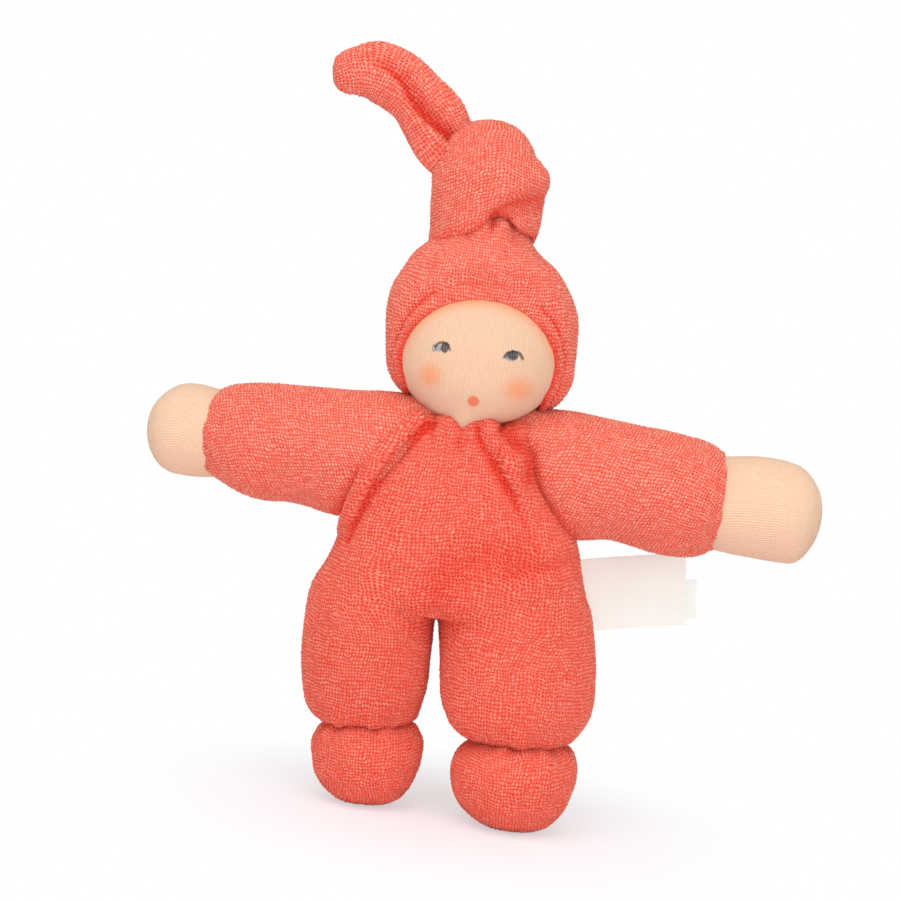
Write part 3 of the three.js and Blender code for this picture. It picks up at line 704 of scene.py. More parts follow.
@dataclass(frozen=True)
class FacePaint:
    """The painted face: two eyes with their lashes, two soft cheeks and a round mouth, and a painted orange
    glow of light bounced from the hood along the top of the opening.
    """

    eyes: tuple[Spot, Spot] = (Spot(-13.6, 123.7, 1.15, 1.5), Spot(3.6, 123.9, 1.5, 1.4))
    whites: tuple[Spot, Spot] = (Spot(-15.4, 123.3, 1.4, 1.0), Spot(3.1, 123.2, 1.8, 0.9))
    lids: tuple[Spot, Spot] = (Spot(-14.2, 122.9, 2.1, 2.2), Spot(3.9, 122.7, 2.6, 2.4))
    cheeks: tuple[Spot, Spot] = (Spot(-16.4, 116.2, 3.6, 3.8), Spot(6.2, 115.4, 4.7, 3.8))
    mouth: Spot = Spot(-4.8, 111.1, 1.55, 1.5)
    corner: Spot = Spot(-16.3, 123.2, 0.5, 0.9)
    # the hood's opening, along whose top edge the painted bounce light lies
    opening: Spot = Spot(-4.4, 119.5, 20.2, 17.2)
    slate: Colour = (0.030, 0.036, 0.048)
    blue_grey: Colour = (0.22, 0.33, 0.42)
    # the cheeks' paint, also used for the painted bounce light under the hem
    blush_and_hem_bounce: Colour = (0.92, 0.33, 0.14)
    red: Colour = (0.84, 0.19, 0.080)

    def paint(self, graph: Graph, cloth: Socket, rib: Socket) -> Socket:
        """Paints the face on the cloth's colour.

        Args:
            graph: the cloth's nodes.
            cloth: the cloth's colour.
            rib: the height of the cloth's ribs, which take more paint.

        Returns:
            The painted colour.
        """
        x, y, z = graph.axes()
        front = graph.math("LESS_THAN", y, -4.0)
        rough = (graph.noise(0.7) - 0.5) * 0.6
        grip = (0.72 + rib * 0.28) * front
        # Painted reflection: an orange tint along the top of the hood's opening stands for light bounced
        # from the terry
        edge = graph.within(self.opening.distance(graph, x, z) + rough * 0.15, 0.82, 1.04)
        upper = graph.within(z, 114.0, 128.0)
        colour = graph.mix(edge * upper * 0.9, cloth, self.blush_and_hem_bounce)
        for cheek in self.cheeks:
            faded = 1 - graph.within(cheek.distance(graph, x, z) + rough * 0.3, 0.1, 1.3)
            colour = graph.mix(faded * front * (0.6 + rib * 0.25), colour, self.blush_and_hem_bounce)
        mouth = 1 - graph.within(self.mouth.distance(graph, x, z) + rough * 0.35, 0.75, 1.15)
        colour = graph.mix(mouth * front * 0.9, colour, self.red)
        for eye, white, lid in zip(self.eyes, self.whites, self.lids):
            pale = 1 - graph.within(white.distance(graph, x, z) + rough, 0.6, 1.1)
            colour = graph.mix(pale * grip * 0.8, colour, self.blue_grey)
            away = eye.distance(graph, x, z) + rough
            colour = graph.mix((1 - graph.within(away, 0.7, 1.1)) * grip, colour, self.slate)
            arc = lid.distance(graph, x, z) + rough * 0.45
            line = graph.within(arc, 0.66, 0.84) * (1 - graph.within(arc, 0.96, 1.16))
            upper = graph.within(z, lid.z - 0.2, lid.z + 0.8)
            colour = graph.mix(line * upper * grip * 0.95, colour, self.slate)
        ring = self.corner.distance(graph, x, z) + rough * 0.3
        stroke = graph.within(ring, 0.5, 0.8) * (1 - graph.within(ring, 1.0, 1.35))
        return graph.mix(stroke * front * 0.4, colour, self.slate)


@dataclass(frozen=True)
class Jersey:
    """Fine peach jersey with narrow ribs, painted where it is the face."""

    name: str = "peach_jersey"
    colour: Colour = (0.90, 0.655, 0.465)
    shade: Colour = (0.82, 0.49, 0.305)
    rib_width: float = 0.70
    stitch_height: float = 0.55
    paint: FacePaint | None = None

    def material(self) -> bpy.types.Material:
        """Makes the finish."""
        graph = Graph.of_material(self.name)
        drift = (graph.noise(2.2) - 0.5) * 0.5
        rib = graph.wave(graph.attribute("across") + drift, self.rib_width)
        stitch = graph.wave(graph.attribute("along") + drift, self.stitch_height)
        height = rib * 0.75 + stitch * 0.25
        fuzz = graph.noise(0.3)
        colour = graph.mix((1 - height) * 0.72 + fuzz * 0.14, self.colour, self.shade)
        if self.paint:
            colour = self.paint.paint(graph, colour, height)
        normal = graph.bump(height * 0.8 + fuzz * 0.2, 0.18)
        return graph.finish(
            Base_Color=colour,
            Roughness=0.88,
            Specular_IOR_Level=0.2,
            Sheen_Weight=0.12,
            Normal=normal,
        )


@dataclass(frozen=True)
class LabelCloth:
    """White woven tape with fine ribs, with painted shade between the threads, darker along the edges, and a
    faint painted glow that lightens it in the arm's shadow.
    """

    colour: Colour = (0.97, 1.0, 0.96)
    shade: Colour = (0.95, 0.96, 0.92)
    painted_glow_colour: Colour = (0.4, 1.0, 0.6)
    glow: float = 0.08
    shade_share: float = 0.35
    thread_width: float = 0.42

    def material(self) -> bpy.types.Material:
        """Makes the finish."""
        graph = Graph.of_material("label_tape")
        warp, weft = (graph.wave(graph.attribute(name), self.thread_width) for name in ("along", "across"))
        height = graph.math("MAXIMUM", warp, weft)
        # Painted shade between the raised threads, and a darker colour along the edges
        shade_and_edge_share = (1 - height + graph.attribute("edge")) * self.shade_share
        colour = graph.mix(shade_and_edge_share, self.colour, self.shade)
        return graph.finish(
            Base_Color=colour,
            Roughness=0.8,
            Specular_IOR_Level=0.25,
            # A painted glow, though the label is no lamp: it lightens the label in the arm's shadow and
            # takes out the pink of light bounced from the terry
            Emission_Color=(*self.painted_glow_colour, 1),
            Emission_Strength=self.glow,
            Normal=graph.bump(height, 0.05),
        )


@dataclass(frozen=True)
class Wool:
    """Cream wool filling, matted in tufts."""

    colour: Colour = (0.83, 0.76, 0.62)
    shade: Colour = (0.62, 0.53, 0.40)

    def material(self) -> bpy.types.Material:
        """Makes the finish."""
        graph = Graph.of_material("wool_filling")
        tuft = graph.noise(2.5, 6.0)
        colour = graph.mix(graph.within(tuft, 0.3, 0.7), self.shade, self.colour)
        return graph.finish(Base_Color=colour, Roughness=1.0, Normal=graph.bump(tuft, 0.8))


@dataclass(frozen=True)
class Thread:
    """Coral tie thread, twisted."""

    colour: Colour = (0.82, 0.10, 0.065)
    shade: Colour = (0.50, 0.035, 0.022)
    twist: float = 0.5

    def material(self) -> bpy.types.Material:
        """Makes the finish."""
        graph = Graph.of_material("tie_thread")
        x, y, z = graph.axes()
        strand = graph.wave(x + y + z, self.twist)
        colour = graph.mix(strand, self.shade, self.colour)
        return graph.finish(Base_Color=colour, Roughness=0.75, Normal=graph.bump(strand, 0.1))


# The terry's loops

@dataclass(frozen=True)
class Pile:
    """The terry's loops, which stand side by side in rows."""

    loop_width: float = 0.86
    row_height: float = 0.94
    height: float = 0.34
    jitter: float = 0.40
    jitter_size: float = 1.5
    drift: float = 0.55
    drift_size: float = 4.5
    fuzz: float = 0.09
    fuzz_room: float = 0.16
    # How the hollows that smoothing finds turn into painted shade
    crease_start: float = 0.04
    crease_depth: float = 0.60
    crease_rounds: int = 50
    seed: int = 11

    def stand(self, skin: Skin, weave: Array, shade: Array | float = 0.0) -> None:
        """Raises the loops on a surface, notes their places in the weave, and notes the painted shade in its
        hollows and folds.

        Args:
            skin: the surface.
            weave: for each point, its place along the rows and across them, in millimetres.
            shade: how much painted shade each point gets in a fold, from 0 to 1, on top of what its form's
                hollows give.
        """
        across, along = (weave / (self.loop_width, self.row_height)).T
        for size, reach in ((self.jitter_size, self.jitter), (self.drift_size, self.drift)):
            across = across + reach * soft_noise(skin.points, size, self.seed)
            along = along + reach * soft_noise(skin.points, size, self.seed + 1)
        # Painted shade: the form's hollows and the given shade make the deep value, which darkens the
        # cloth's colour
        hollow = skin.smoothed(self.crease_rounds, skin.points) - skin.points
        cavity = (hollow * skin.normals()).sum(axis=1)
        skin.values["deep"] = np.clip(ease(self.crease_start, self.crease_depth, cavity) + shade, 0, 1)
        skin.values["across"] = across
        skin.values["along"] = along
        sway = LOOP_SWAY * np.sin(FULL_TURN * along)
        wales = LOOP_WALES * np.cos(FULL_TURN * (across + sway))
        loop = wales + LOOP_ROWS * np.cos(FULL_TURN * along)
        fuzz = np.random.default_rng(self.seed).normal(0, self.fuzz, len(loop))
        room = np.clip(skin.spacing() / self.fuzz_room, 0, 1)
        skin.push((self.height * loop + fuzz) * room)


@dataclass(frozen=True)
class Workshop:
    """What every piece shares: the finishes, the loops and the distance between points."""

    terry: bpy.types.Material
    top_lit_terry: bpy.types.Material
    jersey: bpy.types.Material
    face: bpy.types.Material
    label: bpy.types.Material
    wool: bpy.types.Material
    thread: bpy.types.Material
    pile: Pile = Pile()
    grain: float = 0.28
    hidden_grain: float = 0.6
    wool_grain: float = 0.9
    tuft_size: float = 5.0

    def sewn(self, name: str, skin: Skin, weave: Array, shade: Array | float = 0.0) -> bpy.types.Object:
        """Raises the loops on a surface and makes it a piece of the romper's terry."""
        self.pile.stand(skin, weave, shade)
        return skin.piece(name, self.terry)

    def sewn_top_lit(self, name: str, skin: Skin, weave: Array, shade: Array | float = 0.0) -> bpy.types.Object:
        """Does the same in the lighter copy of the terry for the sleeves and the hood, whose paleness is
        painted light from above.
        """
        self.pile.stand(skin, weave, shade)
        return skin.piece(name, self.top_lit_terry)

    def stuff(self, body: str, rings: Array, tufts: float, seed: int) -> None:
        """Makes a body's wool filling, matted in soft tufts.

        Args:
            body: the body.
            rings: the filling's form.
            tufts: how far the tufts rise, in millimetres.
            seed: another seed gives other tufts.
        """
        skin = Skin.of_rings(rings)
        skin.push(tufts * soft_noise(skin.points, self.tuft_size, seed))
        piece = skin.piece(f"{body}_filling", self.wool)
        carried(piece, body, "wool", f"{body}_wool", fill=0.9)


def anchor(joint_name: str) -> Array:
    """Gives a joint's place in the frame, in millimetres."""
    joint = next(one for one in frame["joints"] if one["name"] == joint_name)
    return np.array(joint["pos_m"]) / MM


def carried(
    piece: bpy.types.Object,
    body: str,
    slot: str,
    *nodes: str,
    fill: float | None = None,
) -> None:
    """Lets a piece ride on a body, and reports it.

    Args:
        piece: the piece.
        body: the body that carries it.
        slot: its slot; not used.
        nodes: the nodes that it stands for.
        fill: how full a padded piece is; not used.
    """
    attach(piece, body)
    settled(piece, slot, *nodes)


def bent(
    piece: bpy.types.Object,
    slot: str,
    node: str,
) -> None:
    """Bakes a padded piece's place into its points, hides the node that it stands for, and reports it.

    Args:
        piece: the piece.
        slot: its slot; not used.
        node: the node that it stands for.
    """
    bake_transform(piece)
    settled(piece, slot, node)


def settled(piece: bpy.types.Object, slot: str, *nodes: str) -> None:
    """Hides the nodes that a piece stands for, and logs its number of points."""
    if nodes:
        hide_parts(*nodes)
    log.info("%s: %d points", piece.name, len(piece.data.vertices))


# The romper: body and legs

class Side(Enum):
    """The doll's own left and right."""

    LEFT = "left"
    RIGHT = "right"

    @property
    def direction(self) -> int:
        """Gives the side's direction along X."""
        return 1 if self is Side.LEFT else -1


@dataclass(frozen=True)
class Crease:
    """A crease in the front along a line of (x, z) places, pressed in and shaded.

    The pressing and the shade grow from nothing to their full strength between two heights.
    """

    line: Rows
    depth: float
    reach: float
    shade: float
    shade_reach: float
    pressed_over: Range = (0.0, 1.0)
    shaded_over: Range = (0.0, 1.0)


@dataclass
class Leg:
    """One leg of the romper, from the tied ankle to the hip."""

    side: Side
    rows: Rows
    seed: int
    ankle_slope: float
    level_at: float
    ankle_height: float = 22.6
    ankle_reach: float = 10.0
    gather_height: float = 0.55
    gather_count: int = 10
    gather_spread: int = 5
    gathers_over: Range = (31.0, 24.0)
    room: float = 24.0
    room_top: float = 45.0
    yoke_heights: Range = (45, 67)
    yoke_inset: float = 1.4
    filling_heights: Range = (28, 60)
    filling_inset: float = 3.2

    @property
    def body(self) -> str:
        """Gives the leg's body."""
        return f"{self.side.value}_leg"

    def sunk(self, points: Array) -> Array:
        """Gives how far the tied ankle's slope moves each point up or down."""
        near = hump(self.ankle_height, self.ankle_reach, points[:, 2])
        return self.ankle_slope * (points[:, 0] - self.level_at) * near

    def gathered(self, points: Array) -> tuple[Array, Array]:
        """Gives how far the gathers over the ankle push each point out, and how far its slope lifts it."""
        x, y, z = points.T
        middle_x, middle_y = self.rows[1][1:3]
        near = (np.hypot(x - middle_x, y - middle_y) < self.room) & (z < self.room_top)
        around = np.arctan2(y - middle_y, x - middle_x)
        waves = pleats(around, self.gather_count, self.seed, self.gather_spread)
        waves = waves * self.gather_height * ease(*self.gathers_over, z)
        return np.where(near, waves, 0), np.where(near, self.sunk(points), 0)

    def make_inside(self, shop: Workshop) -> None:
        """Makes the leg's cloth over the hip, which shows where the leg swings out, and its wool."""
        grain = shop.hidden_grain
        rings = level_rings(drawn_in(self.rows, self.yoke_heights, self.yoke_inset), grain)
        skin = Skin.of_rings(capped(rings, grain, 1.0, 3.0))
        yoke = shop.sewn(f"{self.body}_yoke", skin, form_weave(skin.points, self.rows))
        carried(yoke, self.body, "terry", fill=0.75)
        grain = shop.wool_grain
        rings = level_rings(drawn_in(self.rows, self.filling_heights, self.filling_inset), grain)
        shop.stuff(self.body, capped(rings, grain, 0.5, 2.0), 0.5, self.seed)


@dataclass
class Romper:
    """The romper's body and its two legs, cut as one, with the raglan folds down from the neck."""

    body_rows: Rows = (
        (54, -3.6, 0.9, 33.2, 16.0), (56, -3.5, 0.9, 34.6, 18.0), (59, -3.5, 0.9, 34.8, 19.1),
        (62, -3.4, 0.9, 34.0, 19.6), (65, -3.3, 0.9, 33.0, 19.9), (69, -3.3, 0.9, 31.8, 20.1),
        (73, -3.4, 0.9, 30.8, 20.1), (77, -4.0, 0.9, 29.6, 19.9), (81, -4.6, 0.9, 27.9, 19.5),
        (85, -5.2, 0.9, 26.0, 18.9), (89, -5.5, 0.9, 24.2, 18.2), (93, -5.5, 0.9, 22.0, 17.8),
        (97, -5.3, 0.8, 19.8, 17.3), (101, -4.9, 0.4, 17.4, 16.5), (104, -4.7, -0.2, 15.2, 15.8),
        (106, -4.7, -0.7, 13.0, 14.4), (107.4, -4.7, -0.8, 9.6, 11.4),
    )
    legs: tuple[Leg, Leg] = (
        Leg(Side.LEFT, (
            (22.6, 18.3, -3.0, 10.6, 10.4), (23.6, 18.1, -2.9, 13.4, 13.0),
            (25.5, 17.0, -2.7, 16.0, 15.2), (28, 16.4, -2.4, 18.0, 16.8), (31, 16.2, -2.0, 19.3, 17.8),
            (35, 16.0, -1.5, 19.9, 18.3), (40, 15.5, -1.0, 20.1, 18.6), (45, 15.0, -0.4, 20.1, 18.7),
            (50, 14.1, 0.2, 20.1, 18.8), (55, 13.1, 0.7, 20.0, 18.6), (60, 12.5, 0.9, 19.0, 17.6),
            (64, 12.4, 0.9, 15.2, 14.6), (67, 12.3, 0.9, 10.5, 10.5),
        ), 3, 0.07, 18.0),
        Leg(Side.RIGHT, (
            (22.6, -21.7, 4.9, 9.8, 9.6), (23.6, -22.1, 4.8, 12.4, 12.2),
            (25.5, -23.2, 4.6, 14.0, 13.6), (28, -23.7, 4.3, 15.2, 15.0), (31, -23.8, 3.9, 16.0, 16.2),
            (35, -24.0, 3.3, 16.4, 17.0), (40, -24.3, 2.6, 16.5, 17.5), (45, -24.3, 2.0, 16.5, 17.8),
            (50, -24.3, 1.4, 16.4, 18.0), (55, -24.1, 1.0, 16.2, 17.8), (60, -23.6, 0.9, 15.0, 16.8),
            (64, -23.2, 0.9, 12.6, 14.0), (67, -23.0, 0.9, 9.0, 10.0),
        ), 5, 0.12, -12.0),
    )
    left_fold: Rows = (
        (0.8, -14.4, 105.2, 2.6), (3.2, -15.0, 101.0, 2.9), (6.6, -15.1, 96.2, 3.0),
        (8.9, -14.7, 91.2, 2.7), (11.7, -13.7, 86.7, 2.6), (15.0, -12.0, 82.9, 2.5),
        (18.9, -9.6, 79.6, 2.4), (22.6, -5.8, 77.3, 2.1), (25.0, 0.0, 75.6, 1.6),
    )
    right_fold: Rows = (
        (-17.0, -12.4, 105.4, 2.4), (-19.9, -13.2, 101.6, 2.6), (-24.2, -13.8, 96.6, 2.8),
        (-27.4, -13.6, 91.2, 2.8), (-29.4, -12.7, 86.0, 2.7), (-31.0, -10.8, 81.0, 2.4),
        (-32.8, -7.2, 75.6, 2.0), (-33.8, 0.0, 71.6, 1.6),
    )
    creases: tuple[Crease, ...] = (
        Crease(
            ((-2.8, 104.0), (-2.2, 101.6), (0.8, 97.2), (5.5, 91.0), (9.6, 85.2), (14.3, 77.8)),
            depth=1.2, reach=1.7, shade=1.0, shade_reach=1.35,
            pressed_over=(76.0, 90.0), shaded_over=(76.0, 90.0),
        ),
        Crease(
            (
                (-14.6, 104.0), (-16.0, 102.2), (-19.6, 97.6), (-24.2, 91.2), (-27.2, 85.6),
                (-29.4, 79.5), (-32.4, 70.5),
            ),
            depth=1.2, reach=1.7, shade=1.0, shade_reach=1.35,
        ),
        Crease(
            ((4.4, 106.0), (6.4, 102.0), (11.2, 98.0), (11.9, 92.4)),
            depth=1.7, reach=2.6, shade=0.9, shade_reach=3.0, pressed_over=(97.0, 101.0),
        ),
        Crease(
            ((-7.0, 55.0), (-7.6, 61.0), (-5.0, 67.0), (2.0, 71.5), (11.0, 71.5)),
            depth=1.3, reach=7.0, shade=0.55, shade_reach=9.5,
        ),
        Crease(
            ((11.0, 68.4), (18.0, 70.4), (25.0, 72.2), (29.0, 73.0)),
            depth=0.6, reach=2.6, shade=0.35, shade_reach=3.0,
        ),
    )
    ridges: Rows = ((-0.8, 3.0, 0.9), (-10.6, 2.4, 0.5), (9.0, 2.6, 0.6))
    dips: Rows = ((-6.7, 2.0, 1.0), (3.2, 1.8, 0.9), (-14.4, 1.8, 0.9))
    drops: Rows = ((-6.7, 2.6, 1.7), (-12.0, 3.0, 0.7), (3.2, 1.8, 0.6))
    dip_shade: float = 0.3
    neck_x: float = -5.0
    front_over: Range = (2.0, -6.0)
    pucker_count: int = 13
    pucker_calm: float = 0.65
    collar_over: Range = (92.0, 103.0)
    ridges_over: Range = (90.0, 103.0)
    dip_shade_over: Range = (94.0, 103.0)
    drops_over: Range = (97.0, 103.0)
    swell: float = 0.3
    lumps: float = 0.45
    lump_size: float = 13.0
    body_power: float = 2.7
    leg_top: float = 66.0
    crotch_x: float = -7.1
    crotch_share: float = 2.5
    crotch_reach: float = 14.0
    knit_over: Range = (42.0, 68.0)
    crotch_knit_over: Range = (44.0, 52.0)
    bend_above: float = 9.0
    bend_below: float = 11.0
    margin: float = 3.0
    dive: float = 0.12
    form_step: float = 1.2
    fold_step: float = 1.0
    fold_share_behind: float = 0.72
    voxel: float = 0.56
    voxel_rounds: int = 9
    seat_heights: Range = (0, 73)
    seat_inset: float = 1.5
    filling_heights: Range = (59, 104)
    filling_inset: float = 3.2
    filling_step: float = 1.0

    def union(self) -> Skin:
        """Joins the body, the folds and the legs into one soft surface."""
        step = self.form_step
        forms = [capped(level_rings(self.body_rows, step, self.body_power), step, 2.0, 1.0)]
        forms += [capped(level_rings(leg.rows, step), step, 0.3, 1.0) for leg in self.legs]
        for fold in (self.left_fold, self.right_fold):
            behind = [(x, 1.2 - 0.9 * y, z, radius * self.fold_share_behind) for x, y, z, radius in fold]
            forms += [tube_rings(fold, self.fold_step), tube_rings(behind, self.fold_step)]
        pieces = [Skin.of_rings(rings).piece("romper_form") for rings in forms]
        bpy.ops.object.select_all(action="DESELECT")
        for piece in pieces:
            piece.select_set(True)
        bpy.context.view_layer.objects.active = pieces[0]
        bpy.ops.object.join()
        whole = bpy.context.view_layer.objects.active
        remesh = whole.modifiers.new("remesh", "REMESH")
        remesh.mode = "VOXEL"
        remesh.voxel_size = self.voxel * MM
        bpy.ops.object.modifier_apply(modifier=remesh.name)
        rough = Skin.of_object(whole)
        rough.points = rough.smoothed(self.voxel_rounds, rough.points)
        coarse = rough.piece("romper_form")
        bpy.context.view_layer.objects.active = coarse
        finer = coarse.modifiers.new("finer", "SUBSURF")
        finer.levels = finer.render_levels = 1
        bpy.ops.object.modifier_apply(modifier=finer.name)
        return Skin.of_object(coarse)

    def gathered(self, skin: Skin) -> Array:
        """Puckers the cloth at the neckline and the ankles, presses its folds in and gives them painted
        shade.

        Args:
            skin: the joined body and legs.

        Returns:
            How much painted shade each point gets in the folds, from 0 to 1.
        """
        x, y, z = skin.points.T
        front = ease(*self.front_over, y)
        puckers = pleats(np.arctan2(y, x - self.neck_x), self.pucker_count, 21)
        distance = puckers * ease(*self.collar_over, z) * (1 - self.pucker_calm * front)
        dips = humps(self.dips, x)
        distance += (humps(self.ridges, x) - dips) * ease(*self.ridges_over, z) * front
        shade = self.dip_shade * dips * ease(*self.dip_shade_over, z) * front
        for crease in self.creases:
            away = line_distance(skin.points, crease.line)
            pressed = hump(0.0, crease.reach, away) * front * ease(*crease.pressed_over, z)
            shaded = hump(0.0, crease.shade_reach, away) * front * ease(*crease.shaded_over, z)
            distance -= crease.depth * pressed
            shade += crease.shade * shaded
        rise = -humps(self.drops, x) * ease(*self.drops_over, z) * front
        for leg in self.legs:
            waves, lift = leg.gathered(skin.points)
            distance += waves
            rise += lift
        distance += self.swell + self.lumps * soft_noise(skin.points, self.lump_size, 8)
        skin.push(distance)
        skin.points[:, 2] += rise
        return np.clip(shade, 0, 1)

    def weave(self, points: Array) -> Array:
        """Gives each point's place in the knit, which follows the body above and the legs below."""
        x, _, z = points.T
        body = form_weave(points, self.body_rows)
        low = np.zeros_like(body)
        for leg in self.legs:
            mine = (x > self.crotch_x) == (leg.side is Side.LEFT)
            low[mine] = form_weave(points[mine], leg.rows)
        beside = ease(0.0, self.crotch_reach, np.abs(x - self.crotch_x))
        share = ease(*self.knit_over, z)
        share = (share + (1 - share) * (1 - beside) * ease(*self.crotch_knit_over, z))[:, None]
        weave = body * share + low * (1 - share)
        weave[:, 0] += 0.8 * soft_noise(points, 16.0, 31)
        weave[:, 1] += 1.3 * soft_noise(points, 19.0, 32)
        return weave

    def make(self, shop: Workshop) -> None:
        """Makes the body and the legs, and what is inside each of them."""
        skin = self.union()
        shade = self.gathered(skin)
        shop.pile.stand(skin, self.weave(skin.points), shade)
        x = skin.points[:, 0]
        height = skin.smoothed(3, skin.points[:, 2:])[:, 0]
        body = self.parted(skin, self.leg_top - height).piece("romper_body", shop.terry)
        carried(body, "body", "terry", "body_front", "body_back", fill=0.75)
        self.make_inside(shop)
        for leg in self.legs:
            inward = -leg.side.direction * (x - self.crotch_x)
            beyond = np.maximum(height - self.leg_top, inward * self.crotch_share)
            piece = self.parted(skin, beyond).piece(leg.body, shop.terry)
            bent(piece, "terry", f"{leg.body}_cover")
            leg.make_inside(shop)

    def parted(self, skin: Skin, beyond: Array) -> Skin:
        """Keeps one part of the cloth, with a margin that dives under the part beside it.

        Args:
            skin: the whole cloth.
            beyond: how far each point is past the part's border, in millimetres.

        Returns:
            The part.
        """
        whole = Skin(skin.points, skin.quads, skin.triangles, {**skin.values, "beyond": beyond})
        part = whole.kept(beyond < self.margin)
        past = np.clip(part.values.pop("beyond"), 0, None)
        part.push(-self.dive * past**2)
        return part

    def make_inside(self, shop: Workshop) -> None:
        """Makes the seat just inside the romper, which shows where a leg swings away, and the wool."""
        grain, power = shop.hidden_grain, self.body_power
        rings = level_rings(drawn_in(self.body_rows, self.seat_heights, self.seat_inset), grain, power)
        seat = Skin.of_rings(capped(rings, grain, 1.0, 0.5))
        piece = shop.sewn("romper_seat", seat, form_weave(seat.points, self.body_rows))
        carried(piece, "body", "terry", fill=0.75)
        step = self.filling_step
        rings = level_rings(drawn_in(self.body_rows, self.filling_heights, self.filling_inset), step, power)
        shop.stuff("body", capped(rings, step, 1.0, 1.0), 0.6, 71)


@dataclass
class Foot:
    """A ball foot of the same terry, tied off at the ankle."""

    rows: Rows
    seed: int
    leg: Leg
    sole_over: Range = (6.5, 2.5)
    folds_over: Range = (14.0, 21.5)
    folds_out: Range = (3.0, 9.0)
    fold_height: float = 0.6
    least_height: float = 0.45
    least_loop_height: float = 0.02

    def make(self, shop: Workshop) -> None:
        """Makes the foot."""
        rings = capped(level_rings(self.rows, shop.grain), shop.grain, 0.0, 0.6)
        weave = weave_places(rings, rings.shape[1] * 3 // 4)
        skin = Skin.of_rings(rings)
        x, y, z = skin.points.T
        sole_x, sole_y = self.rows[0][1:3]
        flat = np.column_stack([x - sole_x, np.abs(y - sole_y)])
        under = ease(*self.sole_over, z)[:, None]
        weave = weave * (1 - under) + flat * under
        middle_x, middle_y = self.rows[-1][1:3]
        turn = np.arctan2(y - middle_y, x - middle_x)
        out = np.hypot(x - middle_x, y - middle_y)
        folds = pleats(turn, self.leg.gather_count, self.seed, self.leg.gather_spread) * self.fold_height
        folds = folds * ease(*self.folds_over, z) * ease(*self.folds_out, out)
        skin.push(folds + 0.4 * soft_noise(skin.points, 9.0, self.seed))
        skin.points[:, 2] = np.maximum(skin.points[:, 2] + self.leg.sunk(skin.points), self.least_height)
        weave[:, 1] += 0.9 * soft_noise(skin.points, 12.0, 33)
        shop.pile.stand(skin, weave)
        skin.points[:, 2] = np.maximum(skin.points[:, 2], self.least_loop_height)
        body = f"{self.leg.side.value}_foot"
        carried(skin.piece(body, shop.terry), body, "terry", f"{body}_cover", fill=0.85)


# Arms

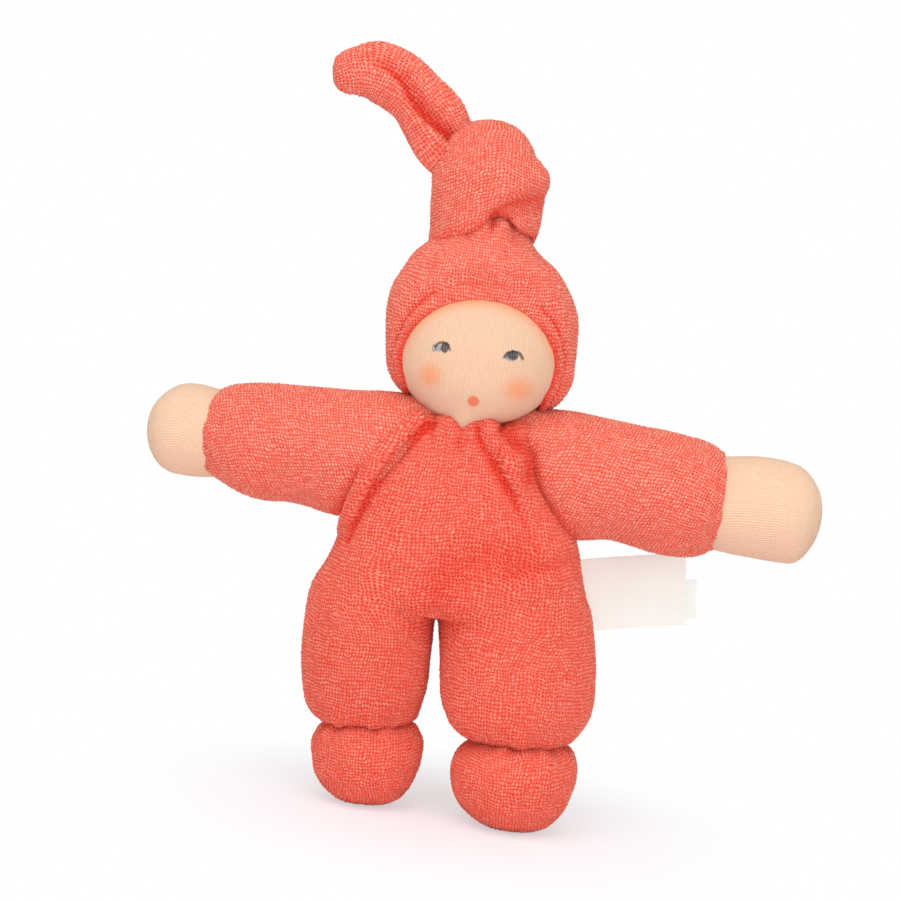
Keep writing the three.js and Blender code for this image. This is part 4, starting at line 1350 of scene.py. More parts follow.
@dataclass
class Arm:
    """A sleeve and its hand. Rows go out from the shoulder: place, rise, half height and half depth."""

    side: Side
    sweep: float
    sleeve_rows: Rows
    hand_rows: Rows
    crease: Rows
    crease_depth: float
    crease_reach: float = 3.2
    crease_shade: float = 0.9
    crease_over: Range = (79.0, 86.0)
    crease_front: Range = (1.0, -5.0)
    cuff_roll: float = 1.0
    cuff_bulge: float = 1.2
    cuff_depth: float = 3.0
    cuff_steps: int = 10
    tuck_count: int = 9
    tuck_height: float = 0.3
    tuck_length: float = 9.0
    gusset_radius: float = 13.2
    gusset_reach: float = 84.0
    gusset_rows: int = 21
    gusset_step: float = 0.5

    def axis(self) -> tuple[Array, Array, Array]:
        """Gives the shoulder's place, the way out along the arm and the way to its front."""
        shoulder = anchor(f"{self.side.value}_arm_raise")
        turn = math.radians(self.sweep)
        out = np.array([self.side.direction * math.cos(turn), math.sin(turn), 0.0])
        front = np.array([out[1], -out[0], 0.0]) * self.side.direction
        return shoulder, out, front

    def rings(self, rows: Rows, step: float) -> Array:
        """Makes rings along the arm, whose points start underneath.

        Args:
            rows: the outline.
            step: the distance between points.

        Returns:
            The rings.
        """
        shoulder, out, front = self.axis()
        places = even_places(rows, step)
        rise, high, deep = through(rows, places).T
        count = int(FULL_TURN * high.max() / step)
        turn = (np.linspace(0, FULL_TURN, count, endpoint=False) - math.pi / 2)[None, :, None]
        centre = shoulder + places[:, None] * out + rise[:, None] * UP
        around = np.sin(turn) * UP * high[:, None, None] + np.cos(turn) * front * deep[:, None, None]
        return centre[:, None] + around

    def make_sleeve(self, shop: Workshop) -> None:
        """Makes the sleeve, with its cuff turned in round the wrist."""
        rings = self.rings(self.sleeve_rows, shop.grain)
        shoulder, out, _ = self.axis()
        end = rings[-1]
        middle = end.mean(axis=0)
        spoke = unit(end - middle)
        extra = []
        for turn in np.linspace(0, math.pi, self.cuff_steps)[1:]:
            inward = self.cuff_roll * (1 - math.cos(turn))
            extra.append(end - spoke * inward + out * self.cuff_roll * self.cuff_bulge * math.sin(turn))
        for back in np.arange(shop.grain, self.cuff_depth, 2 * shop.grain):
            extra.append(end - spoke * 2 * self.cuff_roll - out * back)
        rings = np.concatenate([rings, np.array(extra)])
        weave = weave_places(rings, rings.shape[1] // 2)
        skin = Skin.of_rings(rings)
        y, z = skin.points[:, 1], skin.points[:, 2]
        place = (skin.points - shoulder) @ out
        cuff = self.sleeve_rows[-1][0]
        tucks = pleats(np.arctan2(z - middle[2], y - middle[1]), self.tuck_count, 32 + self.side.direction)
        tucks = tucks * self.tuck_height * ease(cuff - self.tuck_length, cuff, place)
        pressed = hump(0.0, self.crease_reach, line_distance(skin.points, self.crease))
        pressed = pressed * ease(*self.crease_front, y)
        deep = self.crease_depth * ease(*self.crease_over, z)
        skin.push(tucks - deep * pressed + 0.5 * soft_noise(skin.points, 13.0, 9))
        weave += 0.9 * wander(skin.points, 17.0, (6, 7))
        name = f"{self.side.value}_sleeve"
        piece = shop.sewn_top_lit(f"{name}_cloth", skin, weave[:, ::-1], self.crease_shade * pressed)
        carried(piece, f"{self.side.value}_arm", "terry", name, fill=0.8)

    def make_gusset(self, shop: Workshop) -> None:
        """Makes the ball of cloth in the armhole, which shows where the arm lifts."""
        shoulder, _, _ = self.axis()
        rows = []
        for lift in np.radians(np.linspace(-self.gusset_reach, self.gusset_reach, self.gusset_rows)):
            half = self.gusset_radius * math.cos(lift)
            height = shoulder[2] + self.gusset_radius * math.sin(lift)
            rows.append((height, shoulder[0], shoulder[1], half, half))
        step = self.gusset_step
        skin = Skin.of_rings(capped(level_rings(rows, step), step, 0.1, 0.1))
        piece = shop.sewn(f"{self.side.value}_armhole_gusset", skin, form_weave(skin.points, rows))
        body = f"{self.side.value}_shoulder"
        carried(piece, body, "terry", f"{body}_wool", fill=0.8)

    def make_hand(self, shop: Workshop) -> None:
        """Makes the hand's ball."""
        rings = self.rings(self.hand_rows, shop.hidden_grain)
        skin = Skin.of_rings(rings)
        skin.values["across"], skin.values["along"] = weave_places(rings, rings.shape[1] // 2).T
        skin.push(0.25 * soft_noise(skin.points, 8.0, 12))
        piece = skin.piece(f"{self.side.value}_hand", shop.jersey)
        carried(piece, f"{self.side.value}_arm", "jersey", f"{self.side.value}_hand_skin", fill=0.9)


# Head and hood

@dataclass
class Head:
    """The jersey head, round and a little narrower at the chin."""

    rows: Rows = (
        (103.9, -5.2, -3.4, 4.0, 4.6), (104.6, -5.1, -3.0, 7.2, 8.6), (106, -5.0, -2.4, 11.2, 12.8),
        (108, -4.9, -1.8, 14.3, 15.8), (110, -4.8, -1.3, 16.6, 17.8), (112, -4.8, -1.0, 18.4, 19.3),
        (115, -4.8, -0.8, 20.4, 20.6), (119, -4.8, -0.6, 21.9, 21.3), (123, -4.8, -0.6, 22.2, 21.4),
        (127, -4.8, -0.6, 21.8, 20.8), (131, -4.8, -0.6, 20.4, 19.4), (135, -4.8, -0.6, 17.6, 16.8),
        (138, -4.8, -0.6, 13.8, 13.4), (140.3, -4.8, -0.6, 8.6, 8.4), (141.4, -4.8, -0.6, 3.0, 3.0),
    )
    middle: Range = (-4.8, -0.6)
    knit_radius: float = 21.5
    chin: Range = (-6.7, 104.8)
    chin_reach: float = 3.4
    chin_out: float = 0.9
    chin_drop: float = 1.5

    def make(self, shop: Workshop) -> None:
        """Makes the head."""
        grain = shop.hidden_grain
        skin = Skin.of_rings(capped(level_rings(self.rows, grain), grain, 0.2, 0.1))
        x, y, z = skin.points.T
        chin_x, chin_z = self.chin
        chin = hump(chin_x, self.chin_reach, x) * hump(chin_z, self.chin_reach, z) * (y < 0)
        skin.push(self.chin_out * chin)
        skin.points[:, 2] -= self.chin_drop * chin
        middle_x, middle_y = self.middle
        skin.values["across"] = np.arctan2(x - middle_x, middle_y - y) * self.knit_radius
        skin.values["along"] = z.copy()
        carried(skin.piece("head_jersey", shop.face), "head", "jersey", "head_skin", fill=0.9)


@dataclass
class Hood:
    """The terry hood: rings parallel to the face's opening, from the folded hem to the nape."""

    rows: Rows = (
        (98, -4.2, 2.0, 9.5, 9.5), (102, -4.1, 1.6, 12.6, 12.8), (106, -4.0, 1.1, 15.8, 16.4),
        (109, -4.0, 0.8, 18.6, 19.0), (112, -4.1, 0.3, 21.2, 21.2), (115, -4.3, 0.0, 22.9, 22.4),
        (118, -4.3, -0.3, 23.8, 23.2), (122, -4.5, -0.5, 24.1, 23.4), (126, -4.7, -0.6, 24.4, 23.0),
        (130, -4.9, -0.6, 24.5, 22.0), (134, -5.1, -0.6, 24.2, 20.7), (138, -5.4, -0.6, 23.0, 19.3),
        (142, -5.7, -0.6, 20.8, 17.9), (146, -6.3, -0.7, 18.0, 16.8), (149, -7.0, -0.7, 14.4, 14.6),
        (152, -7.4, -0.7, 12.0, 12.6), (155, -7.4, -0.8, 10.2, 11.2), (158, -7.4, -1.2, 7.8, 9.4),
        (159.8, -7.4, -1.8, 5.4, 7.4), (160.6, -7.4, -2.0, 2.2, 3.0),
    )
    heart: tuple[float, float, float] = (-5.0, -0.6, 124.0)
    face_x: float = -4.4
    face_z: float = 120.0
    face_half_width: float = 21.3
    face_rise: float = 19.6
    face_drop: float = 18.0
    nape_y: float = 7.0
    hem_width: float = 3.0
    hem_roll: float = 0.8
    hug_width: float = 6.0
    hug_over: Range = (-0.8, -0.4)
    nape_over: Range = (-0.35, -1.0)
    reach_between: Range = (5.0, 60.0)
    reach_rounds: int = 24
    around: int = 560
    deep_rings: int = 190
    sweep_share: float = 0.985
    beside_over: Range = (10.0, 18.0)
    hem_height: float = 0.45
    seam_place: float = 3.3
    seam_depths: Range = (0.04, 0.5)
    fullness: float = 0.7
    full_width: float = 10.0
    slack: float = 0.3
    neck_z: float = 157.0
    neck_middle: Range = (-7.2, -1.0)
    neck_height: float = 0.9
    neck_bumps: Rows = ((-9.5, 4.0, 0.9), (-2.5, 3.4, 1.1), (-5.6, 1.4, -1.6))
    seam_shade: float = 0.35
    inner_over: Range = (2.3, -0.6)
    inner_shade: float = 0.3

    @staticmethod
    def outside(points: Array, rows: Rows) -> Array:
        """Tells for each point whether it lies outside an outline."""
        shape = points.shape[:-1]
        flat = points.reshape(-1, 3)
        middle_x, middle_y, wide, deep = through(rows, flat[:, 2]).T
        size = ((flat[:, 0] - middle_x) / wide) ** 2 + ((flat[:, 1] - middle_y) / deep) ** 2
        beyond = (flat[:, 2] > rows[-1][0]) | (flat[:, 2] < rows[0][0])
        return ((size > 1) | beyond).reshape(shape)

    def reach(self, directions: Array, rows: Rows) -> Array:
        """Finds how far an outline is from the heart in each direction."""
        near, far = (np.full(directions.shape[:-1], one) for one in self.reach_between)
        for _ in range(self.reach_rounds):
            middle = (near + far) / 2
            outside = self.outside(np.array(self.heart) + directions * middle[..., None], rows)
            far = np.where(outside, middle, far)
            near = np.where(outside, near, middle)
        return (near + far) / 2

    def opening(self) -> Array:
        """Gives the directions from the heart to the face's opening."""
        turn = np.linspace(0, FULL_TURN, self.around, endpoint=False)
        x = self.face_x + self.face_half_width * np.cos(turn)
        tall = np.where(np.sin(turn) > 0, self.face_rise, self.face_drop)
        z = self.face_z + tall * np.sin(turn)
        middle_x, middle_y, wide, deep = through(self.rows, z).T
        y = middle_y - deep * np.sqrt(np.clip(1 - ((x - middle_x) / wide) ** 2, 0.02, 1))
        y += (self.nape_y - y) * ease(*self.nape_over, np.sin(turn))
        return unit(np.stack([x, y, z], axis=1) - np.array(self.heart))

    def swept(self, start: Array) -> tuple[Array, Array]:
        """Sweeps rings over the head, from the face's opening to the nape.

        Args:
            start: the directions from the heart to the opening.

        Returns:
            The rings, and each point's way along the cloth from the opening.
        """
        back = np.array([0.0, 1.0, 0.0])
        angle = np.arccos(np.clip(start @ back, -1, 1))
        share = np.linspace(0, self.sweep_share, self.deep_rings)[:, None]
        first = np.sin((1 - share) * angle) / np.sin(angle)
        second = np.sin(share * angle) / np.sin(angle)
        directions = unit(first[..., None] * start + second[..., None] * back)
        far = self.reach(directions, self.rows)
        rings = np.array(self.heart) + directions * far[..., None]
        steps = np.linalg.norm(np.diff(rings, axis=0), axis=2)
        run = np.concatenate([np.zeros((1, self.around)), np.cumsum(steps, axis=0)])
        hem = slice(0, self.deep_rings // 4)
        face = self.reach(directions[hem], HEAD.rows) + self.hem_roll
        hug = ease(self.hug_width, 0.0, run[hem]) * ease(*self.hug_over, directions[hem][..., 2])
        far[hem] += np.minimum(face - far[hem], 0) * hug
        return np.array(self.heart) + directions * far[..., None], run

    def hemmed(self, start: Array, rings: Array, run: Array) -> tuple[Array, Array]:
        """Curls the cloth's edge inward round the opening.

        Args:
            start: the directions from the heart to the opening.
            rings: the hood's rings.
            run: each point's way along the cloth from the opening.

        Returns:
            The rings and the ways with those of the curl before them.
        """
        turn = np.linspace(math.pi, 0, ROLL_STEPS, endpoint=False)[:, None, None]
        lean = np.cos(turn) * start + np.sin(turn) * unit(rings[0] - rings[2])
        curl = rings[0] - start * self.hem_roll + lean * self.hem_roll
        curl_run = np.broadcast_to(-self.hem_roll * turn[..., 0], curl.shape[:2])
        return np.concatenate([curl, rings]), np.concatenate([curl_run, run])

    def relief(self, points: Array, width: Array, beside: Array) -> Array:
        """Gives the form of the hem, of its seam and of the gathers under the knot.

        Args:
            points: the hood's points.
            width: each point's way along the cloth from the opening.
            beside: how far each point is to the side of the face, from 0 to 1.

        Returns:
            How far each point is pushed out.
        """
        x, y, z = points.T
        roll = self.hem_height * np.sin(np.pi * np.clip(width / self.hem_width, 0, 1)) ** 0.8
        least, more = self.seam_depths
        seam = -(least + more * beside) * hump(self.seam_place, 0.9, width)
        full = self.fullness * ease(self.hem_width, self.full_width, width)
        middle_x, middle_y = self.neck_middle
        turn = np.arctan2(y - middle_y, x - middle_x)
        neck = pleats(turn, 9, 17, 4) * self.neck_height * hump(self.neck_z, 8.0, z)
        neck += humps(self.neck_bumps, x) * hump(self.neck_z, 5.0, z) * ease(0.0, -6.0, y)
        return roll + seam + full - self.slack + neck + 0.45 * soft_noise(points, 13.0, 14)

    def make(self, shop: Workshop) -> None:
        """Makes the hood with its hem."""
        start = self.opening()
        rings, run = self.hemmed(start, *self.swept(start))
        skin = Skin.of_rings(rings, start_closed=False)
        weave = form_weave(skin.points, self.rows)
        weave[:, 1] = np.interp(skin.points[:, 2], *profile(self.rows))
        width = np.append(run.ravel(), run[-1].mean())
        beside = ease(*self.beside_over, np.abs(skin.points[:, 0] - self.face_x))
        skin.push(self.relief(skin.points, width, beside))
        weave[:, 1] += 0.9 * soft_noise(skin.points, 15.0, 15)
        shade = ease(*self.inner_over, width) * (self.inner_shade + (1 - self.inner_shade) * beside)
        shade += self.seam_shade * beside * hump(self.seam_place, 1.0, width)
        piece = shop.sewn_top_lit("hood_cloth", skin, weave, shade)
        carried(piece, "head", "terry", "hood", fill=0.4)


@dataclass
class Knot:
    """The knot in the hood's point, with the rim that wraps round the gathered cloth."""

    rows: Rows = (
        (147, -7.9, -0.6, 12.3, 12.2), (149, -7.8, -0.6, 12.8, 12.8), (154, -7.6, -0.6, 13.9, 13.6),
        (158, -7.6, -0.6, 14.4, 14.0), (163, -7.65, -0.6, 14.65, 14.2), (167, -7.8, -0.6, 14.7, 14.0),
        (171, -8.1, -0.6, 13.4, 13.0), (174, -8.0, -0.6, 12.1, 11.8), (177.3, -8.3, -0.6, 9.8, 9.6),
        (180, -8.0, -0.6, 6.8, 6.8), (181.4, -7.9, -0.6, 3.8, 4.0), (181.9, -7.8, -0.6, 1.6, 1.8),
    )
    rim_rows: Rows = (
        (-22.5, 149.0), (-17.4, 151.6), (-12.0, 154.6), (-7.4, 156.8), (-3.3, 157.9), (0.0, 156.8),
        (2.6, 155.2), (6.0, 154.3), (8.0, 154.2),
    )
    back_rim: float = 150.5
    tuck_line: Rows = (
        (-9.0, 158.0), (-7.0, 159.4), (-4.7, 160.6), (-1.6, 162.9),
        (2.7, 164.3), (5.9, 165.2), (9, 165.6),
    )
    rim_roll: float = 1.2
    around: int = 300
    rim_middle: float = -7.4
    rim_half_width: float = 13.6
    rim_tucked: tuple[int, ...] = (4, 3, 2, 1)
    rim_slope: float = 1.2
    middle: Range = (-7.6, -0.6)
    right_over: Range = (-9.5, -5.0)
    front_over: Range = (5.0, -3.0)
    tuck_depth: float = 1.8
    tuck_over: Range = (1.0, -1.8)
    tuck_fades: Range = (-4.0, -9.0)
    tuck_side: Range = (8.5, 5.0)
    lip_height: float = 0.45
    lip_side: Range = (6.0, 1.0)
    corner_turn: float = -0.1
    corner_height: float = 1.4
    corner_z: float = 169.4
    notch_depth: float = 0.7
    notch_z: float = 174.4
    flare_height: float = 0.5
    tuck_shade: float = 0.7
    brim_shade: float = 0.4

    def rim(self, turn: Array) -> Array:
        """Gives the height of the rim round the knot, lifted in front over the gathered cloth."""
        x = self.rim_middle + self.rim_half_width * np.cos(turn)
        front = through(self.rim_rows, x)[:, 0]
        behind = ease(-0.15, 0.5, np.sin(turn))
        return front * (1 - behind) + self.back_rim * behind

    def rings(self, step: float) -> Array:
        """Makes rings from the rim, which is turned in, to the top.

        Args:
            step: the distance between rings.

        Returns:
            The rings.
        """
        turn = np.linspace(-math.pi, math.pi, self.around, endpoint=False)
        places = even_places(self.rows, step)
        low, top = self.rim(turn), places[-1]
        share = ((places - places[0]) / (top - places[0]))[:, None]
        height = low + share * (top - low)
        middle_x, middle_y, wide, deep = (
            column.reshape(height.shape) for column in through(self.rows, height.ravel()).T
        )
        spoke = np.stack([np.cos(turn), np.sin(turn), np.zeros_like(turn)], axis=1)
        body = np.stack([middle_x + wide * np.cos(turn), middle_y + deep * np.sin(turn), height], axis=2)
        angle = np.linspace(math.pi, 0, ROLL_STEPS, endpoint=False)[:, None, None]
        curl = body[0] - self.rim_roll * (spoke * (1 - np.cos(angle)) + UP * np.sin(angle))
        tuck = [curl[0] + (UP - spoke * self.rim_slope) * depth for depth in self.rim_tucked]
        return np.concatenate([np.array(tuck), curl, body])

    def make(self, shop: Workshop) -> None:
        """Makes the knot."""
        rings = self.rings(shop.grain)
        weave = weave_places(rings, self.around // 4, start_closed=False)
        skin = Skin.of_rings(rings, start_closed=False)
        x, y, z = skin.points.T
        middle_x, middle_y = self.middle
        around = np.arctan2(y - middle_y, x - middle_x)
        above = z - np.interp(x, *np.array(self.tuck_line).T)
        over_rim = z - self.rim(around)
        right = ease(*self.right_over, x) * ease(*self.front_over, y)
        tucked = -self.tuck_depth * ease(*self.tuck_over, above) * (1 - 0.6 * ease(*self.tuck_fades, above))
        lip = self.lip_height * hump(2.6, 3.4, above) * ease(*self.lip_side, x)
        corner = self.corner_height * hump(self.corner_z, 3.8, z) * hump(self.corner_turn, 0.8, around)
        notch = -self.notch_depth * hump(self.notch_z, 2.0, z) * hump(self.corner_turn, 0.7, around)
        flare = self.flare_height * ease(4.0, 0.0, over_rim) * ease(0.0, -5.0, x + 7)
        spread = (tucked * ease(*self.tuck_side, x) + lip) * right + flare
        skin.push(spread + corner + notch + 0.5 * soft_noise(skin.points, 9.0, 19))
        weave[:, 0] += 0.5 * soft_noise(skin.points, 12.0, 20)
        under = self.tuck_shade * hump(-1.8, 3.2, above) * right
        brim = self.brim_shade * hump(-1.0, 2.6, over_rim) * ease(2.0, -4.0, y)
        piece = shop.sewn_top_lit("hood_knot_cloth", skin, weave[:, ::-1], under + brim)
        carried(piece, "head", "terry", "hood_knot", fill=0.7)


@dataclass
class Tail:
    """The hood's tail beyond the knot, flattened and folded down its front."""

    path: Rows = (
        (0, -11.3, 168.7, 7.0, 4.6), (1, -16.1, 172.1, 8.1, 5.0), (2, -20.8, 175.8, 8.3, 5.2),
        (3, -24.6, 180.8, 8.6, 5.2), (4, -28.9, 185.2, 7.8, 5.0), (5, -34.2, 188.8, 7.8, 4.8),
        (6, -40.0, 190.6, 7.4, 4.5), (7, -44.8, 190.1, 6.4, 4.1), (8, -48.0, 189.0, 5.4, 3.6),
        (9, -49.6, 188.4, 4.4, 2.9), (10, -50.6, 188.1, 2.7, 1.9), (11, -51.0, 188.0, 0.9, 0.7),
    )
    depth_y: float = -0.6
    fold_rows: Rows = (
        (0, 0.1, 1.0), (1, 0.1, 1.0), (2, 0.05, 1.1), (3, -0.2, 1.05), (4, -0.25, 0.95), (5, 0.0, 0.75),
        (6, 0.2, 0.3), (7, 0.25, 0.05), (8, 0.25, 0.0), (10, 0.25, 0.0),
    )
    around: int = 170
    path_places: int = 400
    fold_inner: float = 0.09
    fold_outer: float = 0.45
    ridge_height: float = 0.16
    ridge_before: float = 0.2
    ridge_width: float = 0.16
    edge_power: float = 0.75
    bend_starts: tuple[float, float, float] = (3, 0, -3)
    bend_ends: tuple[float, float, float] = (-5, 0, 5)

    def make(self, shop: Workshop) -> None:
        """Makes the tail."""
        fine = np.linspace(0, self.path[-1][0], self.path_places)
        spots = through(self.path, fine)
        run = np.concatenate([[0], np.cumsum(np.linalg.norm(np.diff(spots[:, :3], axis=0), axis=1))])
        count = int(run[-1] / shop.grain)
        place = np.interp(np.linspace(0, run[-1], count), run, fine)
        x, z, wide, deep = through(self.path, place).T
        way = unit(np.stack([np.gradient(x), np.gradient(z)], axis=1))
        side_x, side_z = way[:, 1], -way[:, 0]
        turn = np.linspace(0, FULL_TURN, self.around, endpoint=False)
        across, round_deep = np.cos(turn), np.sin(turn)
        crest, depth = through(self.fold_rows, place).T
        depth = np.maximum(depth, 0)
        offset = across[None, :] - crest[:, None]
        reach = np.where(offset < 0, self.fold_inner, self.fold_outer)
        ridge = self.ridge_height * np.exp(-(((offset + self.ridge_before) / self.ridge_width) ** 2))
        ridge -= np.exp(-((offset / reach) ** 2))
        front = (round_deep < 0)[None, :]
        dip = np.where(front, 1 + ridge * depth[:, None], 1.0)
        edge = np.abs(round_deep) ** self.edge_power * np.sign(round_deep)
        y = self.depth_y + deep[:, None] * edge[None, :] * dip
        px = x[:, None] + side_x[:, None] * wide[:, None] * across
        pz = z[:, None] + side_z[:, None] * wide[:, None] * across
        rings = np.stack([px, y, pz], axis=2)
        size = (wide + deep) / 2
        way_down = (np.arccos(across) - math.pi / 2)[None, :] * np.sqrt(size * size.max())[:, None]
        way_out = np.broadcast_to(np.interp(place, fine, run)[:, None], way_down.shape)
        weave = np.column_stack([way_down.ravel(), way_out.ravel()])
        weave = np.vstack([weave, (0.0, 0.0), (0.0, run[-1])])
        skin = Skin.of_rings(rings)
        skin.push(0.45 * soft_noise(skin.points, 8.0, 23))
        weave += 0.5 * wander(skin.points, 11.0, (24, 25))
        piece = shop.sewn_top_lit("hood_tail_cloth", skin, weave)
        bent(piece, "terry", "hood_tail")


# Labels

@dataclass
class Label:
    """A bare cloth label, held in the left side seam."""

    node: str
    length: float
    height: float
    level: float
    inset: float
    tilt: float
    slant: float = 20.0
    thickness: float = 0.45
    sag: float = 1.2
    corner_curl: float = 0.8
    curl_from: float = 0.75
    edge_over: Range = (0.3, 1.0)
    grid: tuple[int, int] = (60, 40)
    sharp_angle: float = 50.0

    def make(self, shop: Workshop) -> None:
        """Makes the label from a flat grid, curved and given its thickness."""
        bpy.ops.object.select_all(action="DESELECT")
        columns, rows = self.grid
        bpy.ops.mesh.primitive_grid_add(x_subdivisions=columns, y_subdivisions=rows, size=1)
        piece = bpy.context.view_layer.objects.active
        piece.name = f"{self.node}_cloth"
        mesh = piece.data
        flat = np.zeros(len(mesh.vertices) * 3, np.float32)
        mesh.vertices.foreach_get("co", flat)
        flat = flat.reshape(-1, 3).astype(float)
        out = (flat[:, 0] + 0.5) * self.length
        up = (flat[:, 1] + 0.5) * self.height
        hinge = anchor("label_flap")
        bow = self.sag * np.sin(math.pi * out / self.length) * (0.6 + 0.4 * up / self.height)
        curl = ease(self.curl_from * self.length, self.length, out) * ease(self.height * 0.5, 0, up)
        local = np.stack([out, self.inset + bow - self.corner_curl * curl, up], axis=1)
        tilt, slant = math.radians(-self.tilt), math.radians(self.slant)
        turned = Matrix.Rotation(slant, 3, "Z") @ Matrix.Rotation(tilt, 3, "Y")
        points = local @ np.array(turned).T + (hinge[0], hinge[1], self.level)
        mesh.vertices.foreach_set("co", (points * MM).astype(np.float32).ravel())
        margin = np.minimum(np.minimum(up, self.height - up), self.length - out)
        values = {"along": out, "across": up, "edge": 1 - ease(*self.edge_over, margin)}
        for name, value in values.items():
            attribute = mesh.attributes.new(name, "FLOAT", "POINT")
            attribute.data.foreach_set("value", value.astype(np.float32))
        thick = piece.modifiers.new("thickness", "SOLIDIFY")
        thick.thickness = self.thickness * MM
        thick.offset = 0
        bpy.ops.object.modifier_apply(modifier=thick.name)
        bpy.ops.object.shade_smooth_by_angle(angle=math.radians(self.sharp_angle))
        mesh.materials.append(shop.label)
        carried(piece, "labels", "label_cloth", self.node)


# The studio

@dataclass(frozen=True)
class Lamp:
    """A soft square lamp that looks at the doll. Places are in metres."""

    name: str
    place: tuple[float, float, float]
    size: float
    power: float
    looks_at: tuple[float, float, float] = (0, 0, 0.09)

    def make(self) -> None:
        """Adds the lamp."""
        lamp = bpy.data.lights.new(self.name, "AREA")
        lamp.shape = "SQUARE"
        lamp.size = self.size
        lamp.energy = self.power
        stand = bpy.data.objects.new(self.name, lamp)
        stand.location = self.place
        way = Vector(self.looks_at) - Vector(self.place)
        stand.rotation_euler = way.to_track_quat("-Z", "Y").to_euler()
        bpy.context.scene.collection.objects.link(stand)


@dataclass
class Studio:
    """The white table, the soft lamps and the camera."""

    frame_width: float = 234.0
    distance: float = 760.0
    elevation: float = 6.0
    roll: float = 7.2
    aim: tuple[float, float, float] = (-9.1, 0.0, 96.0)
    sky: float = 0.55
    sensor: float = 36.0
    fades_over: Range = (20.0, 95.0)
    least_plain: float = 0.54
    lamps: tuple[Lamp, ...] = (
        Lamp("window", (-0.14, -0.55, 0.98), 0.9, 5.6),
        Lamp("bounce", (0.45, -0.9, 0.2), 0.8, 3.6),
        Lamp("fill", (-0.7, -0.6, 0.15), 0.8, 1.4),
    )

    def make_camera(self) -> None:
        """Sets the camera, leaning as the photograph does."""
        camera = bpy.data.cameras.new("camera")
        camera.sensor_width = self.sensor
        camera.lens = camera.sensor_width * self.distance / self.frame_width
        camera.clip_start, camera.clip_end = 0.05, 20.0
        lift = math.radians(self.elevation)
        lean = math.radians(self.roll)
        right = Vector((1, 0, 0))
        up = Vector((0, math.sin(lift), math.cos(lift)))
        back = Vector((0, -math.cos(lift), math.sin(lift)))
        leaning_right = right * math.cos(lean) + up * math.sin(lean)
        leaning_up = up * math.cos(lean) - right * math.sin(lean)
        place = Vector(self.aim) * MM + back * self.distance * MM
        turned = Matrix((leaning_right, leaning_up, back)).transposed().to_4x4()
        stand = bpy.data.objects.new("camera", camera)
        stand.matrix_world = Matrix.Translation(place) @ turned
        bpy.context.scene.collection.objects.link(stand)
        bpy.context.scene.camera = stand

    def make_floor(self) -> None:
        """Adds the white table, which shows the doll's shadow and fades to plain white."""
        bpy.ops.object.select_all(action="DESELECT")
        bpy.ops.mesh.primitive_grid_add(x_subdivisions=8, y_subdivisions=8, size=6)
        floor = bpy.context.view_layer.objects.active
        floor.name = "table"
        graph = Graph.of_material("white_table")
        white = graph.mix(graph.noise(3.0) * 0.02, (0.97, 0.89, 0.94), (0.95, 0.87, 0.92))
        matt = graph.socket("ShaderNodeBsdfDiffuse", None, {"Color": white})
        bright = graph.socket("ShaderNodeEmission", None, {"Color": WHITE, "Strength": 1.0})
        x, y, _ = graph.axes()
        far = graph.within((x * x + y * y) ** 0.5, *self.fades_over)
        seen = graph.socket("ShaderNodeLightPath", output="Is Camera Ray")
        shown = seen * (far * (1 - self.least_plain) + self.least_plain)
        mixed = graph.socket("ShaderNodeMixShader", None, {0: shown, 1: matt, 2: bright})
        graph.node("ShaderNodeOutputMaterial", None, {"Surface": mixed})
        floor.data.materials.append(graph.owner)

    def make_sky(self) -> None:
        """Lights the doll evenly, with plain white behind it."""
        world = bpy.data.worlds.new("white_room")
        bpy.context.scene.world = world
        graph = Graph(world)
        seen = graph.socket("ShaderNodeLightPath", output="Is Camera Ray")
        soft, plain = (
            graph.socket("ShaderNodeBackground", None, {"Color": WHITE, "Strength": strength})
            for strength in (self.sky, 1.0)
        )
        mixed = graph.socket("ShaderNodeMixShader", None, {0: seen, 1: soft, 2: plain})
        graph.node("ShaderNodeOutputWorld", None, {"Surface": mixed})

    def make(self) -> None:
        """Sets up the whole studio."""
        bpy.context.scene.view_settings.view_transform = "Standard"
        self.make_camera()
        self.make_floor()
        self.make_sky()
        for lamp in self.lamps:
            lamp.make()


ROMPER = Romper()
HEAD = Head()
FEET = (
    Foot((
        (0.4, 18.5, -3.9, 7.6, 8.0), (2.0, 18.5, -4.0, 10.4, 11.0), (4.0, 18.2, -4.2, 12.5, 13.1),
        (6.0, 18.0, -4.4, 14.0, 14.6), (8.0, 17.9, -4.5, 15.0, 15.6), (10.0, 17.8, -4.5, 15.6, 16.2),
        (14.0, 17.9, -4.5, 16.4, 17.0), (17.0, 18.0, -4.2, 16.2, 16.8), (19.5, 18.1, -3.8, 15.2, 15.6),
        (21.2, 18.2, -3.4, 13.9, 14.1), (22.3, 18.2, -3.2, 12.0, 12.0), (23.0, 18.1, -3.1, 10.0, 10.0),
    ), 41, ROMPER.legs[0]),
    Foot((
        (0.4, -20.0, 3.9, 6.6, 7.0), (2.0, -20.2, 3.7, 9.3, 9.7), (4.0, -20.5, 3.5, 11.2, 11.8),
        (6.0, -20.7, 3.4, 12.5, 13.1), (8.0, -20.8, 3.4, 13.4, 14.0), (10.0, -20.7, 3.4, 13.9, 14.6),
        (14.0, -20.9, 3.4, 14.6, 15.3), (17.5, -21.0, 3.7, 14.4, 15.0), (19.8, -21.3, 4.1, 13.4, 13.8),
        (21.3, -21.5, 4.5, 12.6, 12.8), (22.4, -21.6, 4.8, 11.2, 11.2), (23.2, -21.6, 4.9, 9.4, 9.4),
    ), 43, ROMPER.legs[1]),
)
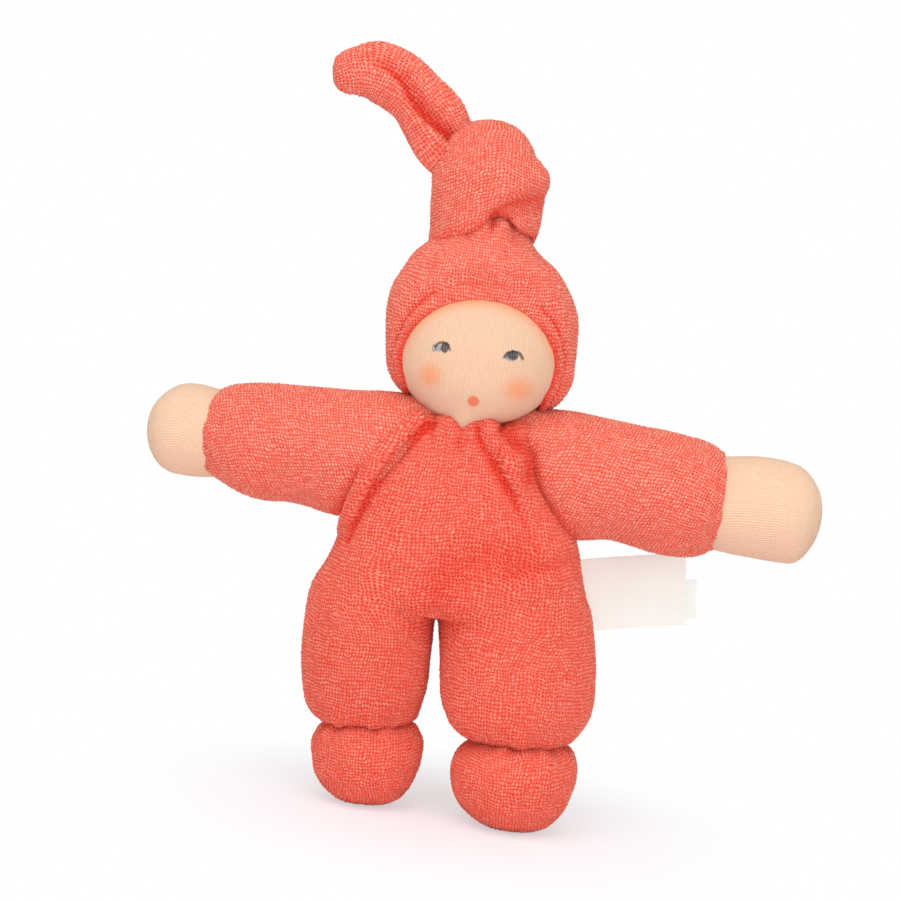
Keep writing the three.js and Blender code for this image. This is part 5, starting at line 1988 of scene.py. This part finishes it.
ARMS = (
    Arm(Side.LEFT, 0.0, (
        (-20, 13.0, 2.5, 4.0), (-18, 11.3, 5.8, 7.8), (-15, 8.4, 9.2, 10.6), (-11, 5.2, 12.5, 12.6),
        (-6, 2.6, 15.1, 14.4), (0, 1.2, 16.6, 15.7), (6, 1.2, 16.1, 15.6), (12, 1.3, 15.4, 15.0),
        (18, 0.6, 15.5, 14.8), (24, 0.1, 16.0, 15.0), (30, -0.3, 15.8, 14.9), (34.5, -0.4, 15.0, 14.2),
        (37.4, -0.3, 13.7, 13.1), (38.4, -0.2, 12.9, 12.4),
    ), (
        (33, -0.9, 11.0, 9.9), (38, -1.0, 12.0, 10.8), (41, -1.0, 12.5, 11.2), (50, -0.95, 13.1, 11.6),
        (57, -1.3, 13.2, 11.7), (60, -1.7, 12.7, 11.2), (62, -2.0, 11.6, 10.4), (64.3, -2.0, 8.8, 8.2),
        (65.6, -1.6, 6.0, 5.8), (66.3, -1.2, 2.8, 2.8),
    ), (
        (4.5, 105.6), (7.0, 102.0), (11.2, 98.3), (12.0, 92.4),
        (14.6, 87.8), (18.0, 83.8), (21.3, 80.8), (25.0, 78.0),
    ), 1.7),
    Arm(Side.RIGHT, 15.0, (
        (-20, 13.5, 2.5, 3.0), (-18, 11.3, 5.5, 6.5), (-15, 8.2, 8.8, 9.5), (-11, 4.8, 12.2, 12.4),
        (-6, 2.0, 14.9, 14.6), (0, 0.3, 16.3, 15.8), (8, -0.2, 16.2, 15.6), (14.5, 0.0, 15.5, 15.0),
        (20.7, -0.1, 15.1, 14.7), (26.9, -0.6, 15.2, 14.7), (33, -0.7, 14.5, 14.1),
        (37.5, -0.4, 13.3, 13.0), (40.3, -0.2, 12.3, 12.1), (41.2, -0.2, 11.8, 11.6),
    ), (
        (34, 0.0, 10.4, 9.9), (40, -0.5, 11.2, 10.8), (44, -0.7, 11.8, 11.4), (50, -0.7, 12.2, 11.8),
        (54, -0.9, 11.7, 11.2), (57, -1.1, 10.0, 9.6), (59.3, -1.2, 7.2, 7.0), (60.6, -1.3, 4.4, 4.4),
        (61.3, -1.3, 2.0, 2.0),
    ), (
        (-30.5, 89.0), (-33.0, 83.0), (-35.2, 77.0),
    ), 0.8),
)
LABELS = (
    Label("woven_label", 34.0, 19.4, 50.6, 0.4, 7.5),
    Label("care_label", 37.3, 10.5, 53.0, 1.8, 5.6),
)


def dress_inner_nodes(shop: Workshop) -> None:
    """Gives the CAD nodes that stay inside the cloth their finishes."""
    finishes = {"wool": shop.wool, "thread": shop.thread, "neck": shop.jersey}
    for name, node in frame["nodes"].items():
        for ending, material in finishes.items():
            if name.endswith(ending):
                node.data.materials.clear()
                node.data.materials.append(material)
                log.info("%s: inner node, %s", name, material.name)


def main() -> None:
    """Makes the doll, piece by piece."""
    logging.basicConfig(level=logging.INFO, format="%(message)s")
    Studio().make()
    shop = Workshop(
        terry=Terry().material(),
        # A lighter copy of the terry, painted light for the sleeves, hood, knot and tail, which the light
        # from above falls on
        top_lit_terry=Terry(
            "top_lit_terry", (0.80, 0.062, 0.035), (0.925, 0.20, 0.137), (0.95, 0.44, 0.34)
        ).material(),
        jersey=Jersey().material(),
        face=Jersey(
            "painted_jersey", (0.865, 0.62, 0.437), (0.775, 0.455, 0.275), paint=FacePaint()
        ).material(),
        label=LabelCloth().material(),
        wool=Wool().material(),
        thread=Thread().material(),
    )
    ROMPER.make(shop)
    for foot in FEET:
        foot.make(shop)
    for arm in ARMS:
        arm.make_sleeve(shop)
        arm.make_gusset(shop)
        arm.make_hand(shop)
    HEAD.make(shop)
    Hood().make(shop)
    Knot().make(shop)
    Tail().make(shop)
    for label in LABELS:
        label.make(shop)
    dress_inner_nodes(shop)


if __name__ == "__main__":
    main()
